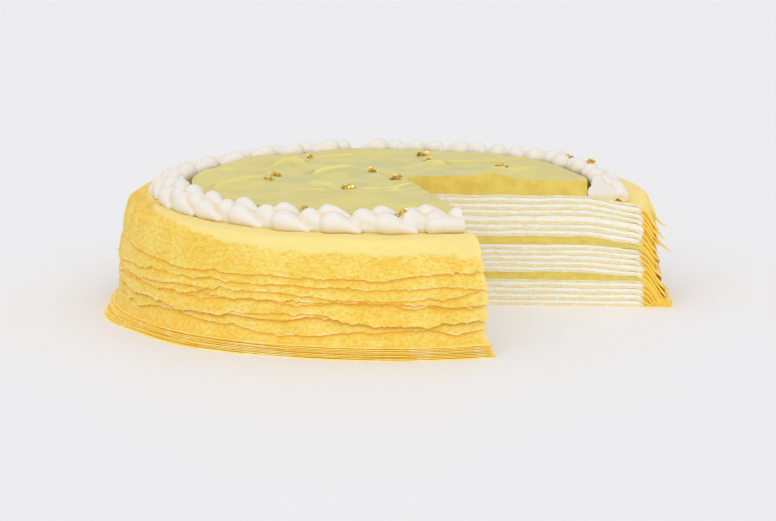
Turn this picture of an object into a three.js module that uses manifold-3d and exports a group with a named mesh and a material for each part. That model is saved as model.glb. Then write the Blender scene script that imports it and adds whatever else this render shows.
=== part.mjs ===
// A crepe cake with one slice cut out: thin crepes with cream and custard between them, a custard top,
// a piped cream border and gold leaf. Millimetres, +Z up. The origin is the middle of the underside.
// One cut face lies along +X and faces -Y; the missing slice is on the +X -Y side of the cake.
import * as THREE from 'three';
import { mergeVertices } from 'three/addons/utils/BufferGeometryUtils.js';
import Module from 'manifold-3d';

// ---------------------------------------------------------------- driving dimensions (mm and degrees)

const SLICE_ANGLE = 68.7; // of the slice that was cut out
const APEX_X = 4; // the two cuts meet a little off the middle
const STATIONS = 24; // steps round the cake

const STACK_HEIGHT = 47.5; // from the underside to the top crepe's upper face
const CREPE = 0.95; // thickness of a crepe
const BAND = 3; // thickness of a custard band
const FILM = 0.06; // clearance between one layer and the next
const THICK_CREAM = 'cream_12'; // one cream layer is thicker than the rest
const THICK_CREAM_EXTRA = 1.1;

const FLAT_R = 105; // the layers lie flat out to here
// How a margin bends over the shoulder: its radius, how far it has sunk there, the height of its section.
const SHOULDER = [
  { radius: FLAT_R, sunk: 0, skin: CREPE },
  { radius: 109.3, sunk: 1.7, skin: 1.25 },
  { radius: 112, sunk: 7, skin: 2.1 },
];
const WALL_SLOPE = Math.tan(THREE.MathUtils.degToRad(78));
const HEM_SKIN = 1.5; // height of a hem's section
const HEM_DROP = 15.2; // from a crepe's top face down to its hanging hem
const HEM_UNEVEN = 1.9;
const SHORTEST_FALL = 0.4; // a bend less than this above the pile is left out

// The cake isn't quite round: it bulges by this much at an angle, within a width.
const BULGES = [
  { at: 28, width: 20, size: 2.2 },
  { at: 190, width: 34, size: 1.2 },
];
// At the last cut the hanging margins have sprung past the cut, more the further out they hang.
const SPRING = 0.6; // for each millimetre beyond SPRING_R
const SPRING_R = 112;
const SPRING_WIDTH = 5; // in degrees from the cut

const FOOT_R = 114.8; // the wall just above the foot
const FOOT_FLARE = 3.4; // how much further the lowest crepe reaches
// and where it has spread further still
const FOOT_SPREADS = [
  { at: 215, width: 32, size: 3.4 },
  { at: 3, width: 25, size: 3 },
];
const FOOT_HEIGHT = 3.2;
const FOOT_UNEVEN = 0.8;
const LYING_HEM = 0.7; // thickness of a hem that lies on the pile

const CREAM_R = 109.2;
const BAND_R = 107.4;
const EDGE_CLEARANCE = 0.2; // above and below a filling at its outer edge
const THINNEST_EDGE = 0.35;
const EDGE_STEP = 0.25; // how far a filling draws back at a time until it fits

const CUSTARD_R = 84.2;
const CUSTARD_EDGE = 6.9; // thickness at the rim
const CUSTARD_MIDDLE = 7.9;
const CUSTARD_RINGS = [12, 24, 34, 44, 54, 64, 74, 81.5];
// The custard's long low waves, [cycles per metre along X, along Y, phase, height], and where the knife
// left a mound, [x, y, width, height].
const WAVES = [
  [12, 17.5, 1.1, 0.4],
  [20.7, -9.5, 2.4, 0.28],
];
const MOUNDS = [
  [44, -2, 9, 2.2],
  [-52, 46, 13, 0.9],
  [-8, -46, 15, 0.8],
];

const BORDER_R = 91.5;
const BORDER_WELL_R = 84.5; // the border stops short of the custard
const BORDER_OUTER_R = 104; // and its ridges end before this
const BORDER_LIP = 0.9; // the thinnest cream at its edge
const BORDER_EDGE_STEP = 0.3;
const BORDER_STEPS = 140;
const BORDER_RIBS = [0, 0.16, 0.33, 0.5, 0.67, 0.84, 1];
const RIDGE_BALLS = 7;
const SIZE_WOBBLE = 0.1;
const HAND_WOBBLE = 1;

// Where each push of the piping bag began, in degrees.
const SHELLS = [
  -8, 4.6, 15.4, 26.1, 36.9, 48.1, 61.6, 74.2, 87, 98.2, 113.3, 124.2, 133.7,
  145.5, 158.5, 171.6, 184.6, 197.7, 210.7, 221.2, 233.8, 246.8, 259.4, 273.1, 285.3, 297.8,
];
// How far the hand strayed outwards round an angle, within a width.
const STRAYS = [
  { at: 215, width: 45, size: 1.6 },
  { at: 287, width: 14, size: -1.6 },
  { at: 4, width: 9, size: 1.8 },
];
// The ridges of one shell. Head and tail are [along the border, outwards, up], each with its radius.
const RIDGES = [
  { head: [0, 2, 3.8], fat: 4.6, tail: [11.4, 4.6, 1], thin: 1.5 },
  { head: [-9.8, -0.3, 5.7], fat: 4, tail: [-1.4, 3, 2.2], thin: 2 },
  { head: [-2.6, -3.3, 6.5], fat: 3.9, tail: [9, -1.6, 3.8], thin: 1.9 },
  { head: [-10, 0.6, 1.8], fat: 3.4, tail: [10, 0.6, 1.8], thin: 3.4 },
];
// Where the cream was pulled up into a peak: [angle, outwards, height of its tip].
const PEAKS = [
  [0.6, -3.2, 11.6],
  [36.5, -0.4, 12.3],
  [180.5, 2.6, 11.6],
  [183.5, 6.2, 8],
  [194, -3.6, 9],
];
const PEAK_FOOT_R = 3.4;
const PEAK_TIP_R = 1;

const DEG = Math.PI / 180;
const SWEEP = 360 - SLICE_ANGLE;

// ---------------------------------------------------------------- small helpers

function seededRandom(seed) {
  let state = seed;
  return () => {
    state = (state + 0x6d2b79f5) | 0;
    let mixed = Math.imul(state ^ (state >>> 15), 1 | state);
    mixed = (mixed + Math.imul(mixed ^ (mixed >>> 7), 61 | mixed)) ^ mixed;
    return ((mixed ^ (mixed >>> 14)) >>> 0) / 4294967296;
  };
}

const lerp = THREE.MathUtils.lerp;

// A smooth uneven line round the cake, about -1 to 1, different for every seed.
function unevenLine(seed) {
  const random = seededRandom(seed);
  const waves = [1, 2, 3, 5, 8].map((count) => ({
    count,
    size: 0.55 / Math.sqrt(count),
    phase: random() * 2 * Math.PI,
  }));
  return (angle) =>
    waves.reduce((sum, wave) => sum + wave.size * Math.sin(wave.count * angle * DEG + wave.phase), 0);
}

// 1 at 0, and falling smoothly to nothing on both sides.
const bell = (away) => Math.exp(-(away ** 2));

// The sum of what lies round this angle, of places given as { at, width, size }.
function sizeAround(places, angle) {
  return places.reduce((sum, { at, width, size }) => sum + size * bell((angle - at) / width), 0);
}

// The point at a radius from the cake's middle, on the line that leaves the cuts' apex at an angle. The
// bulges only move what lies beyond the border, and the spring only the margins.
function pointAt(angle, radius, z) {
  const [c, s] = [Math.cos(angle * DEG), Math.sin(angle * DEG)];
  const share = THREE.MathUtils.clamp((radius - BORDER_R) / (FLAT_R - BORDER_R), 0, 1);
  const far = radius + share * sizeAround(BULGES, angle);
  const reach = -APEX_X * c + Math.sqrt(far * far - (APEX_X * s) ** 2);
  const sprung = SPRING * Math.max(0, far - SPRING_R) * bell((SWEEP - angle) / SPRING_WIDTH);
  return [APEX_X + reach * c - sprung * s, reach * s + sprung * c, z];
}

// ---------------------------------------------------------------- solids swept round the cake

// sectionAt(angle) gives the outline of the section as two lists of [radius, z] from the inside out: top
// and bottom. middle gives the two heights at the apex of a solid that reaches it; without it the solid
// is a ring with an inner wall.
function sweptSolid(sectionAt, middle, steps = STATIONS) {
  const positions = middle ? [[APEX_X, 0, middle.top], [APEX_X, 0, middle.bottom]] : [];
  const sections = [];
  const addLine = (line, angle) => line.map(([radius, z]) => positions.push(pointAt(angle, radius, z)) - 1);
  for (let step = 0; step <= steps; step += 1) {
    const angle = (step / steps) * SWEEP;
    const { top, bottom } = sectionAt(angle);
    sections.push({ top: addLine(top, angle), bottom: addLine(bottom, angle) });
  }
  const index = [];
  const quad = (a, b, c, d) => index.push(a, b, c, a, c, d);
  for (let step = 0; step < steps; step += 1) {
    const [here, next] = [sections[step], sections[step + 1]];
    for (let point = 1; point < here.top.length; point += 1) {
      quad(here.top[point - 1], here.top[point], next.top[point], next.top[point - 1]);
    }
    for (let point = 1; point < here.bottom.length; point += 1) {
      quad(here.bottom[point - 1], next.bottom[point - 1], next.bottom[point], here.bottom[point]);
    }
    quad(here.top.at(-1), here.bottom.at(-1), next.bottom.at(-1), next.top.at(-1));
    if (middle) {
      index.push(0, here.top[0], next.top[0], 1, next.bottom[0], here.bottom[0]);
    } else {
      quad(here.bottom[0], here.top[0], next.top[0], next.bottom[0]);
    }
  }
  const cutFace = ({ top, bottom }, angle, flip) => {
    const outline = [...(middle ? [0, 1] : []), ...bottom, ...top.toReversed()];
    const [c, s] = [Math.cos(angle * DEG), Math.sin(angle * DEG)];
    const flat = outline.map((corner) => {
      const [x, y, z] = positions[corner];
      return new THREE.Vector2((x - APEX_X) * c + y * s, z);
    });
    THREE.ShapeUtils.triangulateShape(flat, []).forEach(([a, b, d]) => {
      index.push(outline[a], ...(flip ? [outline[d], outline[b]] : [outline[b], outline[d]]));
    });
  };
  cutFace(sections[0], 0, false);
  cutFace(sections[steps], SWEEP, true);
  const geometry = new THREE.BufferGeometry();
  geometry.setAttribute('position', new THREE.Float32BufferAttribute(positions.flat(), 3));
  geometry.setIndex(index);
  return geometry;
}

// A section from its ribs, each { top: [radius, z], bottom: [radius, z] }.
const ribbed = (ribs) => ({ top: ribs.map((rib) => rib.top), bottom: ribs.map((rib) => rib.bottom) });

// ---------------------------------------------------------------- the stack of layers

function section(crepes) {
  const layers = ['crepe'];
  for (let count = 1; count < crepes; count += 1) {
    layers.push('cream', 'crepe');
  }
  return layers;
}

const ORDER = [...section(5), 'band', ...section(5), 'cream', 'band', ...section(7)];

function stackLayers() {
  const count = (kind) => ORDER.filter((layer) => layer === kind).length;
  const solid = STACK_HEIGHT - FILM * (ORDER.length - 1) - CREPE * count('crepe') - BAND * count('band');
  const thickness = { crepe: CREPE, band: BAND, cream: (solid - THICK_CREAM_EXTRA) / count('cream') };
  const labels = { crepe: 'crepe', band: 'custard_band', cream: 'cream' };
  const made = { crepe: 0, band: 0, cream: 0 };
  let z = 0;
  return ORDER.map((kind) => {
    made[kind] += 1;
    const name = `${labels[kind]}_${String(made[kind]).padStart(2, '0')}`;
    const bottom = z;
    const top = bottom + thickness[kind] + (name === THICK_CREAM ? THICK_CREAM_EXTRA : 0);
    z = top + FILM;
    return { kind, name, number: made[kind], bottom, top };
  });
}

const layers = stackLayers();

// ---------------------------------------------------------------- the crepes and their hanging margins

// Reads one value of the shoulder from another: between two of its knots, or beyond the last.
function along(from, value, to, beyond) {
  const last = SHOULDER[SHOULDER.length - 1];
  if (value >= last[from]) {
    return last[to] + (value - last[from]) * beyond;
  }
  const next = Math.max(1, SHOULDER.findIndex((knot) => knot[from] > value));
  const [low, high] = [SHOULDER[next - 1], SHOULDER[next]];
  const share = Math.max(0, (value - low[from]) / (high[from] - low[from]));
  return lerp(low[to], high[to], share);
}

const drop = (radius) => along('radius', radius, 'sunk', WALL_SLOPE);
const radiusOfDrop = (sunk) => along('sunk', sunk, 'radius', 1 / WALL_SLOPE);

// The height of a margin's section: a crepe's thickness where it lies flat, more where it slopes.
const skinAt = (radius) => along('radius', radius, 'skin', 0);

// The pile of margins below a crepe, which stops its own margin from sinking further.
const pileUnder = (crepe) => (crepe.number - 1) * (CREPE + FILM);

const crepeTop = (crepe, radius) => Math.max(crepe.top - drop(radius), pileUnder(crepe) + CREPE);
const crepeBottom = (crepe, radius) =>
  Math.max(crepe.top - drop(radius) - skinAt(radius), pileUnder(crepe));

const flatRib = (layer) => ({ top: [FLAT_R, layer.top], bottom: [FLAT_R, layer.bottom] });

// The ribs of a crepe's shoulder, up to the bend where it would have sunk as far as it can.
function shoulderRibs(crepe, furthest) {
  return SHOULDER.filter((knot) => knot.sunk < furthest - SHORTEST_FALL).map(({ radius, sunk, skin }) => {
    const top = crepe.top - sunk;
    return { top: [radius, top], bottom: [radius, Math.max(top - skin, pileUnder(crepe))] };
  });
}

// Where a low crepe's margin meets the pile, and the hem that lies on it.
function lyingRibs(crepe, angle, uneven) {
  const pile = pileUnder(crepe);
  const topR = radiusOfDrop(crepe.top - pile - CREPE);
  const bottomR = radiusOfDrop(crepe.top - pile - skinAt(topR));
  const flare = (FOOT_FLARE + sizeAround(FOOT_SPREADS, angle)) * Math.exp(-pile / FOOT_HEIGHT);
  const hemR = Math.max(FOOT_R + flare + FOOT_UNEVEN * uneven(angle), topR + 1);
  return [
    { top: [topR, pile + CREPE], bottom: [bottomR, pile] },
    { top: [hemR, pile + LYING_HEM], bottom: [hemR, pile] },
  ];
}

function hangingHem(crepe, angle, uneven) {
  const free = HEM_DROP + HEM_UNEVEN * uneven(angle);
  const sunk = Math.min(free, crepe.top - pileUnder(crepe) - HEM_SKIN);
  const radius = radiusOfDrop(sunk);
  return { top: [radius, crepe.top - sunk], bottom: [radius, crepe.top - sunk - HEM_SKIN] };
}

function crepeSection(crepe) {
  const uneven = unevenLine(100 + crepe.number);
  const room = crepe.top - pileUnder(crepe) - CREPE;
  return (angle) => {
    if (crepe.number === 1) {
      return ribbed([lyingRibs(crepe, angle, uneven)[1]]);
    }
    const shoulder = shoulderRibs(crepe, room);
    if (room < HEM_DROP - 1) {
      return ribbed([...shoulder, ...lyingRibs(crepe, angle, uneven)]);
    }
    return ribbed([...shoulder, hangingHem(crepe, angle, uneven)]);
  };
}

// ---------------------------------------------------------------- the cream and custard between the crepes

// A filling ends where the crepes below and above it close on each other. share is the part of the height
// between them that it takes there, as two fractions from the crepe below.
function fillingSection(filling, outerR, below, above, share) {
  const space = (radius) => crepeBottom(above, radius) - crepeTop(below, radius);
  let edge = outerR;
  while (space(edge) < 2 * EDGE_CLEARANCE + THINNEST_EDGE) {
    edge -= EDGE_STEP;
  }
  const [low, high] = share.map((part) => crepeTop(below, edge) + part * space(edge));
  return () => ribbed([
    flatRib(filling),
    { top: [edge, high - EDGE_CLEARANCE], bottom: [edge, low + EDGE_CLEARANCE] },
  ]);
}

function layerGeometry(layer, place) {
  const middle = { top: layer.top, bottom: layer.bottom };
  if (layer.kind === 'crepe') {
    return sweptSolid(crepeSection(layer), middle);
  }
  const below = layers.slice(0, place).filter((other) => other.kind === 'crepe').pop();
  const above = layers.slice(place).find((other) => other.kind === 'crepe');
  const room = above.bottom - below.top - 2 * FILM;
  const share = [layer.bottom, layer.top].map((z) => (z - below.top - FILM) / room);
  const outerR = room < BAND ? CREAM_R : BAND_R;
  return sweptSolid(fillingSection(layer, outerR, below, above, share), middle);
}

// ---------------------------------------------------------------- joining solids

const wasm = await Module();
wasm.setup();

function toManifold(geometry) {
  const bare = geometry.clone();
  bare.deleteAttribute('normal');
  bare.deleteAttribute('uv');
  const merged = mergeVertices(bare, 1e-4);
  return new wasm.Manifold(new wasm.Mesh({
    numProp: 3,
    vertProperties: new Float32Array(merged.attributes.position.array),
    triVerts: new Uint32Array(merged.index.array),
  }));
}

function toGeometry(manifold) {
  const mesh = manifold.getMesh();
  const geometry = new THREE.BufferGeometry();
  geometry.setAttribute('position', new THREE.Float32BufferAttribute(mesh.vertProperties, 3));
  geometry.setIndex(Array.from(mesh.triVerts));
  return geometry;
}

const joined = (manifolds) => manifolds.reduce((whole, piece) => whole.add(piece));

// ---------------------------------------------------------------- gold leaf

const LEAF_BREADTH = 0.6;
const LEAF_ROOT = 2; // how deep a flake is pressed in
const LEAF_SIZES = [0.75, 1.25]; // the corners of a flake lie this far out, as shares of its size

// Each flake lies where its radius and angle say: [radius, angle, half length, rise above the surface].
const CUSTARD_LEAF = [
  [49.5, 182.5, 3.4, 1.2],
  [60.5, 129, 1.3, 0.6],
  [38, 247.5, 3.6, 1.1],
  [16.6, 119, 2, 0.8],
  [13, 280, 2.8, 1],
  [65.7, 81.5, 2, 1.1],
  [46.6, 73, 1.2, 0.6],
  [54.6, 30, 2.9, 1.3],
];
const BORDER_LEAF = [
  [93.6, 276, 2.6, 1.2],
  [93.5, 255, 1.9, 1],
  [90.2, 10.5, 1.7, 1.2],
  [91, 25, 1.6, 1],
];

// A crumpled flake of leaf: a flat lump whose corners are pushed about, sunk into the cream below it.
function leafFlake([radius, angle, halfLength, rise], seed, surfaceZ) {
  const random = seededRandom(seed);
  const bare = new THREE.IcosahedronGeometry(1, 0).deleteAttribute('normal').deleteAttribute('uv');
  const flake = mergeVertices(bare);
  const corners = flake.attributes.position;
  for (let corner = 0; corner < corners.count; corner += 1) {
    const push = lerp(...LEAF_SIZES, random());
    const up = corners.getZ(corner);
    corners.setXYZ(
      corner,
      corners.getX(corner) * push * halfLength,
      corners.getY(corner) * push * halfLength * LEAF_BREADTH,
      up * push * (up > 0 ? rise : LEAF_ROOT),
    );
  }
  flake.rotateZ(random() * Math.PI);
  flake.translate(...pointAt(angle, radius, surfaceZ));
  return toManifold(flake);
}

// ---------------------------------------------------------------- the custard top

const topOfStack = layers[layers.length - 1].top;
const custardFloor = topOfStack + FILM;

// The thickness of the custard, with its waves and mounds.
function custardThickness(radius, angle) {
  const [x, y] = pointAt(angle, radius, 0);
  const body = lerp(CUSTARD_MIDDLE, CUSTARD_EDGE, (radius / CUSTARD_R) ** 3);
  const waves = WAVES.reduce((sum, [alongX, alongY, phase, height]) =>
    sum + height * Math.sin(2 * Math.PI * (alongX * x + alongY * y) / 1000 + phase), 0);
  const mounds = MOUNDS.reduce((sum, [middleX, middleY, width, height]) =>
    sum + height * bell(Math.hypot(x - middleX, y - middleY) / width), 0);
  return body + waves + mounds;
}

const custardTop = (radius, angle) => custardFloor + custardThickness(radius, angle);

function custardGeometry() {
  const sectionAt = (angle) => ({
    top: [...CUSTARD_RINGS, CUSTARD_R].map((radius) => [radius, custardTop(radius, angle)]),
    bottom: [[CUSTARD_R, custardFloor]],
  });
  const middle = { top: custardTop(APEX_X, 0), bottom: custardFloor };
  const custard = toManifold(sweptSolid(sectionAt, middle));
  const flakes = CUSTARD_LEAF.map((place, order) =>
    leafFlake(place, 500 + order, custardTop(place[0], place[1])));
  return toGeometry(joined([custard, ...flakes]));
}

// ---------------------------------------------------------------- the piped border

// One ridge of piped cream, as balls from its head to its tail, on the ring at an angle.
function pipedRidge(angle, { head, fat, tail, thin }) {
  const ringR = BORDER_R + sizeAround(STRAYS, angle);
  const place = ([along_, out, up]) => {
    const turn = angle * DEG + along_ / ringR;
    return [(ringR + out) * Math.cos(turn), (ringR + out) * Math.sin(turn), up];
  };
  return Array.from({ length: RIDGE_BALLS }, (_, order) => {
    const share = order / (RIDGE_BALLS - 1);
    const [x, y, z] = place(head.map((value, axis) => lerp(value, tail[axis], share)));
    return { x, y, z, radius: lerp(fat, thin, share ** 1.5) };
  });
}

function pipedBalls() {
  const random = seededRandom(42);
  const wobbled = (place) => place.map((value) => value + HAND_WOBBLE * (random() - 0.5));
  const shells = SHELLS.flatMap((angle) => RIDGES.flatMap((ridge) => {
    const size = 1 + SIZE_WOBBLE * (random() - 0.5);
    const { head, tail } = { head: wobbled(ridge.head), tail: wobbled(ridge.tail) };
    return pipedRidge(angle, { head, tail, fat: ridge.fat * size, thin: ridge.thin * size });
  }));
  const peaks = PEAKS.flatMap(([angle, out, height]) => {
    const [foot, tip] = [[0, out, height - 2 * PEAK_FOOT_R], [0, out, height - PEAK_TIP_R]];
    return pipedRidge(angle, { head: foot, fat: PEAK_FOOT_R, tail: tip, thin: PEAK_TIP_R });
  });
  return [...shells, ...peaks];
}

// How high the cream stands over a point of the top crepe.
function creamOver(balls, angle, radius) {
  const [x, y] = pointAt(angle, radius, 0);
  return balls.reduce((highest, ball) => {
    const left = ball.radius ** 2 - (x - ball.x) ** 2 - (y - ball.y) ** 2;
    return left > 0 ? Math.max(highest, ball.z + Math.sqrt(left)) : highest;
  }, 0);
}

function borderGeometry() {
  const balls = pipedBalls();
  const sectionAt = (angle) => {
    let outer = BORDER_OUTER_R;
    while (creamOver(balls, angle, outer) < BORDER_LIP) {
      outer -= BORDER_EDGE_STEP;
    }
    const top = BORDER_RIBS.map((share) => {
      const radius = lerp(BORDER_WELL_R, outer, share);
      return [radius, custardFloor + Math.max(BORDER_LIP, creamOver(balls, angle, radius))];
    });
    return { top, bottom: [[BORDER_WELL_R, custardFloor], [outer, custardFloor]] };
  };
  const border = toManifold(sweptSolid(sectionAt, null, BORDER_STEPS));
  const flakes = BORDER_LEAF.map((place, order) => {
    const surface = custardFloor + creamOver(balls, place[1], place[0]);
    return leafFlake(place, 600 + order, surface);
  });
  return toGeometry(joined([border, ...flakes]));
}

// ---------------------------------------------------------------- the cake

const FINISHES = {
  crepe: { color: '#f0cf72', roughness: 0.75, metalness: 0 },
  cream: { color: '#f2eddf', roughness: 0.6, metalness: 0 },
  band: { color: '#dfc35f', roughness: 0.5, metalness: 0 },
  custard: { color: '#d0c886', roughness: 0.45, metalness: 0 },
  border: { color: '#f4efe6', roughness: 0.5, metalness: 0 },
};

const cake = new THREE.Group();

function addPiece(name, geometry, finish) {
  const piece = new THREE.Mesh(geometry, new THREE.MeshStandardMaterial(FINISHES[finish]));
  piece.name = name;
  cake.add(piece);
}

layers.forEach((layer, place) => addPiece(layer.name, layerGeometry(layer, place), layer.kind));
addPiece('custard_top', custardGeometry(), 'custard');
addPiece('piped_border', borderGeometry(), 'border');

export default cake;
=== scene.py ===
# %% [markdown]
# # A crepe cake with one slice cut out
# Seventeen thin crepes lie on each other with cream between them and two bands of custard. Their
# margins hang down the wall like scales. On top lie a disc of custard, a piped ring of cream and gold leaf.
# The frame holds the plain solids. Every piece below is a finer mesh that takes the place of one of them.

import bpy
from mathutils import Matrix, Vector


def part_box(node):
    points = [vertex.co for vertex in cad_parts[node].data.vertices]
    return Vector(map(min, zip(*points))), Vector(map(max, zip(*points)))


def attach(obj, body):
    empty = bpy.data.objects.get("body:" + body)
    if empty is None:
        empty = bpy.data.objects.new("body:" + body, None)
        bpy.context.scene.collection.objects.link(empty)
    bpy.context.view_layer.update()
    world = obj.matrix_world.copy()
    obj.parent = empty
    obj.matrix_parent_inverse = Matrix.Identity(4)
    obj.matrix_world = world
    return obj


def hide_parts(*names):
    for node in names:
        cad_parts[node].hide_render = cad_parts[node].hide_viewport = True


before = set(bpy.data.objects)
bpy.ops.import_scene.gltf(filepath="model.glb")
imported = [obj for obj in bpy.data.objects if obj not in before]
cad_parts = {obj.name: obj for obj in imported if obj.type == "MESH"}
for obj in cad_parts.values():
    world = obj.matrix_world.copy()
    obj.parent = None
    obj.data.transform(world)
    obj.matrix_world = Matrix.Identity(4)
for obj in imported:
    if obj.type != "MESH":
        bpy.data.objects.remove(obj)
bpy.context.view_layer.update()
print("nodes in the frame:", len(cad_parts))

# %% [markdown]
# ## The camera
# A long lens a little above the table flattens the cake, as a product picture does. The camera could be
# turned by hand, but a target, a distance and two angles are easier to read and to change.

# %% Camera
import math
import bpy
import numpy as np
from mathutils import Vector

MM = 0.001

CAMERA_DISTANCE = 1.6
CAMERA_LENS = 173.4
CAMERA_TURN = math.radians(4)
CAMERA_RISE = math.radians(10.65)
TARGET_HEIGHT = 18.7 * MM
TARGET_LEFT = 0.64 * MM


def add_camera():
    """Stands the camera in front of the cake, turned a little to its right."""
    level = math.cos(CAMERA_RISE)
    away = Vector((math.sin(CAMERA_TURN) * level, -math.cos(CAMERA_TURN) * level, math.sin(CAMERA_RISE)))
    right = Vector((math.cos(CAMERA_TURN), math.sin(CAMERA_TURN), 0))
    target = Vector((0, 0, TARGET_HEIGHT)) - right * TARGET_LEFT
    camera = bpy.data.objects.new("camera", bpy.data.cameras.new("camera"))
    camera.data.lens = CAMERA_LENS
    camera.location = target + away * CAMERA_DISTANCE
    camera.rotation_euler = (-away).to_track_quat("-Z", "Y").to_euler()
    bpy.context.scene.collection.objects.link(camera)
    bpy.context.scene.camera = camera


add_camera()
print("camera", CAMERA_DISTANCE, "m away, lens", CAMERA_LENS, "mm")

# %% [markdown]
# ## Unevenness that is the same on every run
# Food is never even, so lines and surfaces need smooth random numbers. Blender has noise functions, but
# they take one point at a time. This one takes whole arrays: it puts a random value on each corner of a
# grid of cubes and blends between the corners. Two curves come with it, a smooth step and a bell, because
# most of the shapes below are put together from them.

# %% Smooth noise
import itertools

HASH = (73856093, 19349663, 83492791)
NOISE_VALUES = 4096


def ease(value):
    """0 below 0, 1 above 1, and a smooth rise between."""
    value = np.clip(value, 0, 1)
    return value * value * (3 - 2 * value)


def bell(value):
    """1 at 0, falling smoothly to almost nothing at 2 and at -2."""
    return np.exp(-(value**2))


def noise(x, y, z, size, seed):
    """Smooth random values from -1 to 1, with bumps about size wide."""
    places = np.stack(np.broadcast_arrays(x, y, z), -1) / size
    cell = np.floor(places).astype(np.int64)
    part = ease(places - cell)
    values = np.random.default_rng(seed).uniform(-1, 1, NOISE_VALUES)
    total = np.zeros(places.shape[:-1])
    for corner in itertools.product((0, 1), repeat=3):
        at = cell + corner
        key = (at[..., 0] * HASH[0]) ^ (at[..., 1] * HASH[1]) ^ (at[..., 2] * HASH[2])
        weight = np.prod(np.where(corner, part, 1 - part), axis=-1)
        total += values[key & (NOISE_VALUES - 1)] * weight
    return total


print("noise at one point:", round(float(noise(1.0, 2.0, 3.0, 2.5, 1)), 3))

# %% [markdown]
# ## From arrays to a mesh
# A mesh could be made with bmesh, one vertex at a time, which is slow for a million faces. Here points and
# faces are collected as arrays in millimetres and handed over in one go. Each point can also carry painted
# values, such as its distance from a torn edge, which the materials read later.

# %% Shape
# What each point can carry: its length along the margin, its distance from the hem, how far it hangs below
# the hem that covers it, its distance from the nearer cut, and how close it is to a crest or a furrow,
# which the materials partly turn into painted highlight and painted shade.
PAINTS = ("sunk", "hem", "below", "brink", "crest")
FAR = 30.0  # what a painted distance says where it doesn't matter
SHARP = math.radians(38)


class Shape:
    """Points and faces of one closed piece, in millimetres."""

    def __init__(self):
        self.points = np.zeros((0, 3))
        self.paint = {name: np.zeros(0) for name in PAINTS}
        self.faces = []
        self.cut = []

    def add(self, x, y, z, **paint):
        """Adds points and returns their numbers, in the shape of x."""
        x, y, z = np.broadcast_arrays(x, y, z)
        first = len(self.points)
        self.points = np.concatenate([self.points, np.stack([x, y, z], -1).reshape(-1, 3)])
        for name in PAINTS:
            start = 0.0 if name == "crest" else FAR
            values = np.broadcast_to(paint.get(name, start), x.shape).reshape(-1)
            self.paint[name] = np.concatenate([self.paint[name], values])
        return np.arange(first, first + x.size).reshape(x.shape)

    def fill(self, faces, flip=False, cut=False):
        """Adds faces of three or four corners each."""
        faces = np.asarray(faces)
        self.faces.append(faces[:, ::-1] if flip else faces)
        self.cut.append(np.full(len(faces), float(cut)))

    def grid(self, rows, flip=False, cut=False):
        """Adds the quads between the rows of a table of point numbers."""
        corners = [rows[:-1, :-1], rows[1:, :-1], rows[1:, 1:], rows[:-1, 1:]]
        self.fill(np.stack(corners, -1).reshape(-1, 4), flip, cut)

    def fan(self, centre, row, flip=False):
        """Adds the triangles between one point and a row of points."""
        centre = np.broadcast_to(centre, len(row) - 1)
        self.fill(np.stack([centre, row[:-1], row[1:]], -1), flip)

    def between(self, first, second, part):
        """Where the points part of the way from one row to another would lie."""
        return self.points[first] * (1 - part) + self.points[second] * part

    def mesh(self, name):
        """Hands everything to a new mesh, in metres."""
        sizes = np.concatenate([np.full(len(block), block.shape[1]) for block in self.faces])
        corners = np.concatenate([block.reshape(-1) for block in self.faces])
        mesh = bpy.data.meshes.new(name)
        mesh.vertices.add(len(self.points))
        mesh.vertices.foreach_set("co", (self.points * MM).astype(np.float32).reshape(-1))
        mesh.loops.add(len(corners))
        mesh.loops.foreach_set("vertex_index", corners.astype(np.int32))
        mesh.polygons.add(len(sizes))
        mesh.polygons.foreach_set("loop_start", (np.cumsum(sizes) - sizes).astype(np.int32))
        mesh.polygons.foreach_set("use_smooth", np.ones(len(sizes), bool))
        for paint, values in self.paint.items():
            layer = mesh.attributes.new(paint, "FLOAT", "POINT")
            layer.data.foreach_set("value", values.astype(np.float32))
        layer = mesh.attributes.new("cut", "FLOAT", "FACE")
        layer.data.foreach_set("value", np.concatenate(self.cut).astype(np.float32))
        mesh.update(calc_edges=True)
        mesh.validate()
        mesh.set_sharp_from_angle(angle=SHARP)
        return mesh


pieces = []


def add_piece(name, mesh, slot, *nodes):
    """Puts a mesh in the scene as the piece that stands for these nodes."""
    piece = bpy.data.objects.new(name, mesh)
    bpy.context.scene.collection.objects.link(piece)
    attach(piece, "root")
    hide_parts(*nodes)
    pieces.append(piece)
    return piece


# %% [markdown]
# ## Where each layer lies
# The frame's nodes say how high every layer ends, so nothing is measured twice. The layers are sorted from
# the plate up, and each one starts a hair above the one below it.

# %% Layers
FILM = 0.06  # clearance between layers


def top_of(node):
    """Height of a node's top in millimetres."""
    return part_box(node)[1].z / MM


layers = sorted(
    (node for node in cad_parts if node.startswith(("crepe", "cream", "custard_band"))), key=top_of
)
tops = [top_of(node) for node in layers]
bottoms = [0.0] + [top + FILM for top in tops[:-1]]
crepe_at = [place for place, node in enumerate(layers) if node.startswith("crepe")]
TOP_CREPE = len(crepe_at)
STACK_TOP = tops[-1]
print(len(layers), "layers up to", round(STACK_TOP, 2), "mm,", TOP_CREPE, "of them crepes")

# %% [markdown]
# ## Stations round the cake
# Both cuts meet at an apex a little off the middle. Every ring of points uses the same angles, seen from
# that apex, so the two cut faces come out flat. The stations lie close together, because the torn
# edges of the crepes change every millimetre. The cake isn't quite round: it bulges in two places, and
# where the slice was taken out the hanging margins have sprung a little past the second cut.

# %% Stations
SWEEP = math.radians(360 - 68.7)
APEX = 4.0
STATIONS = 960
FLAT_R = 98.0  # the layers lie flat out to here
CUT_STEP = 0.5

theta = np.linspace(0, SWEEP, STATIONS + 1)

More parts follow.
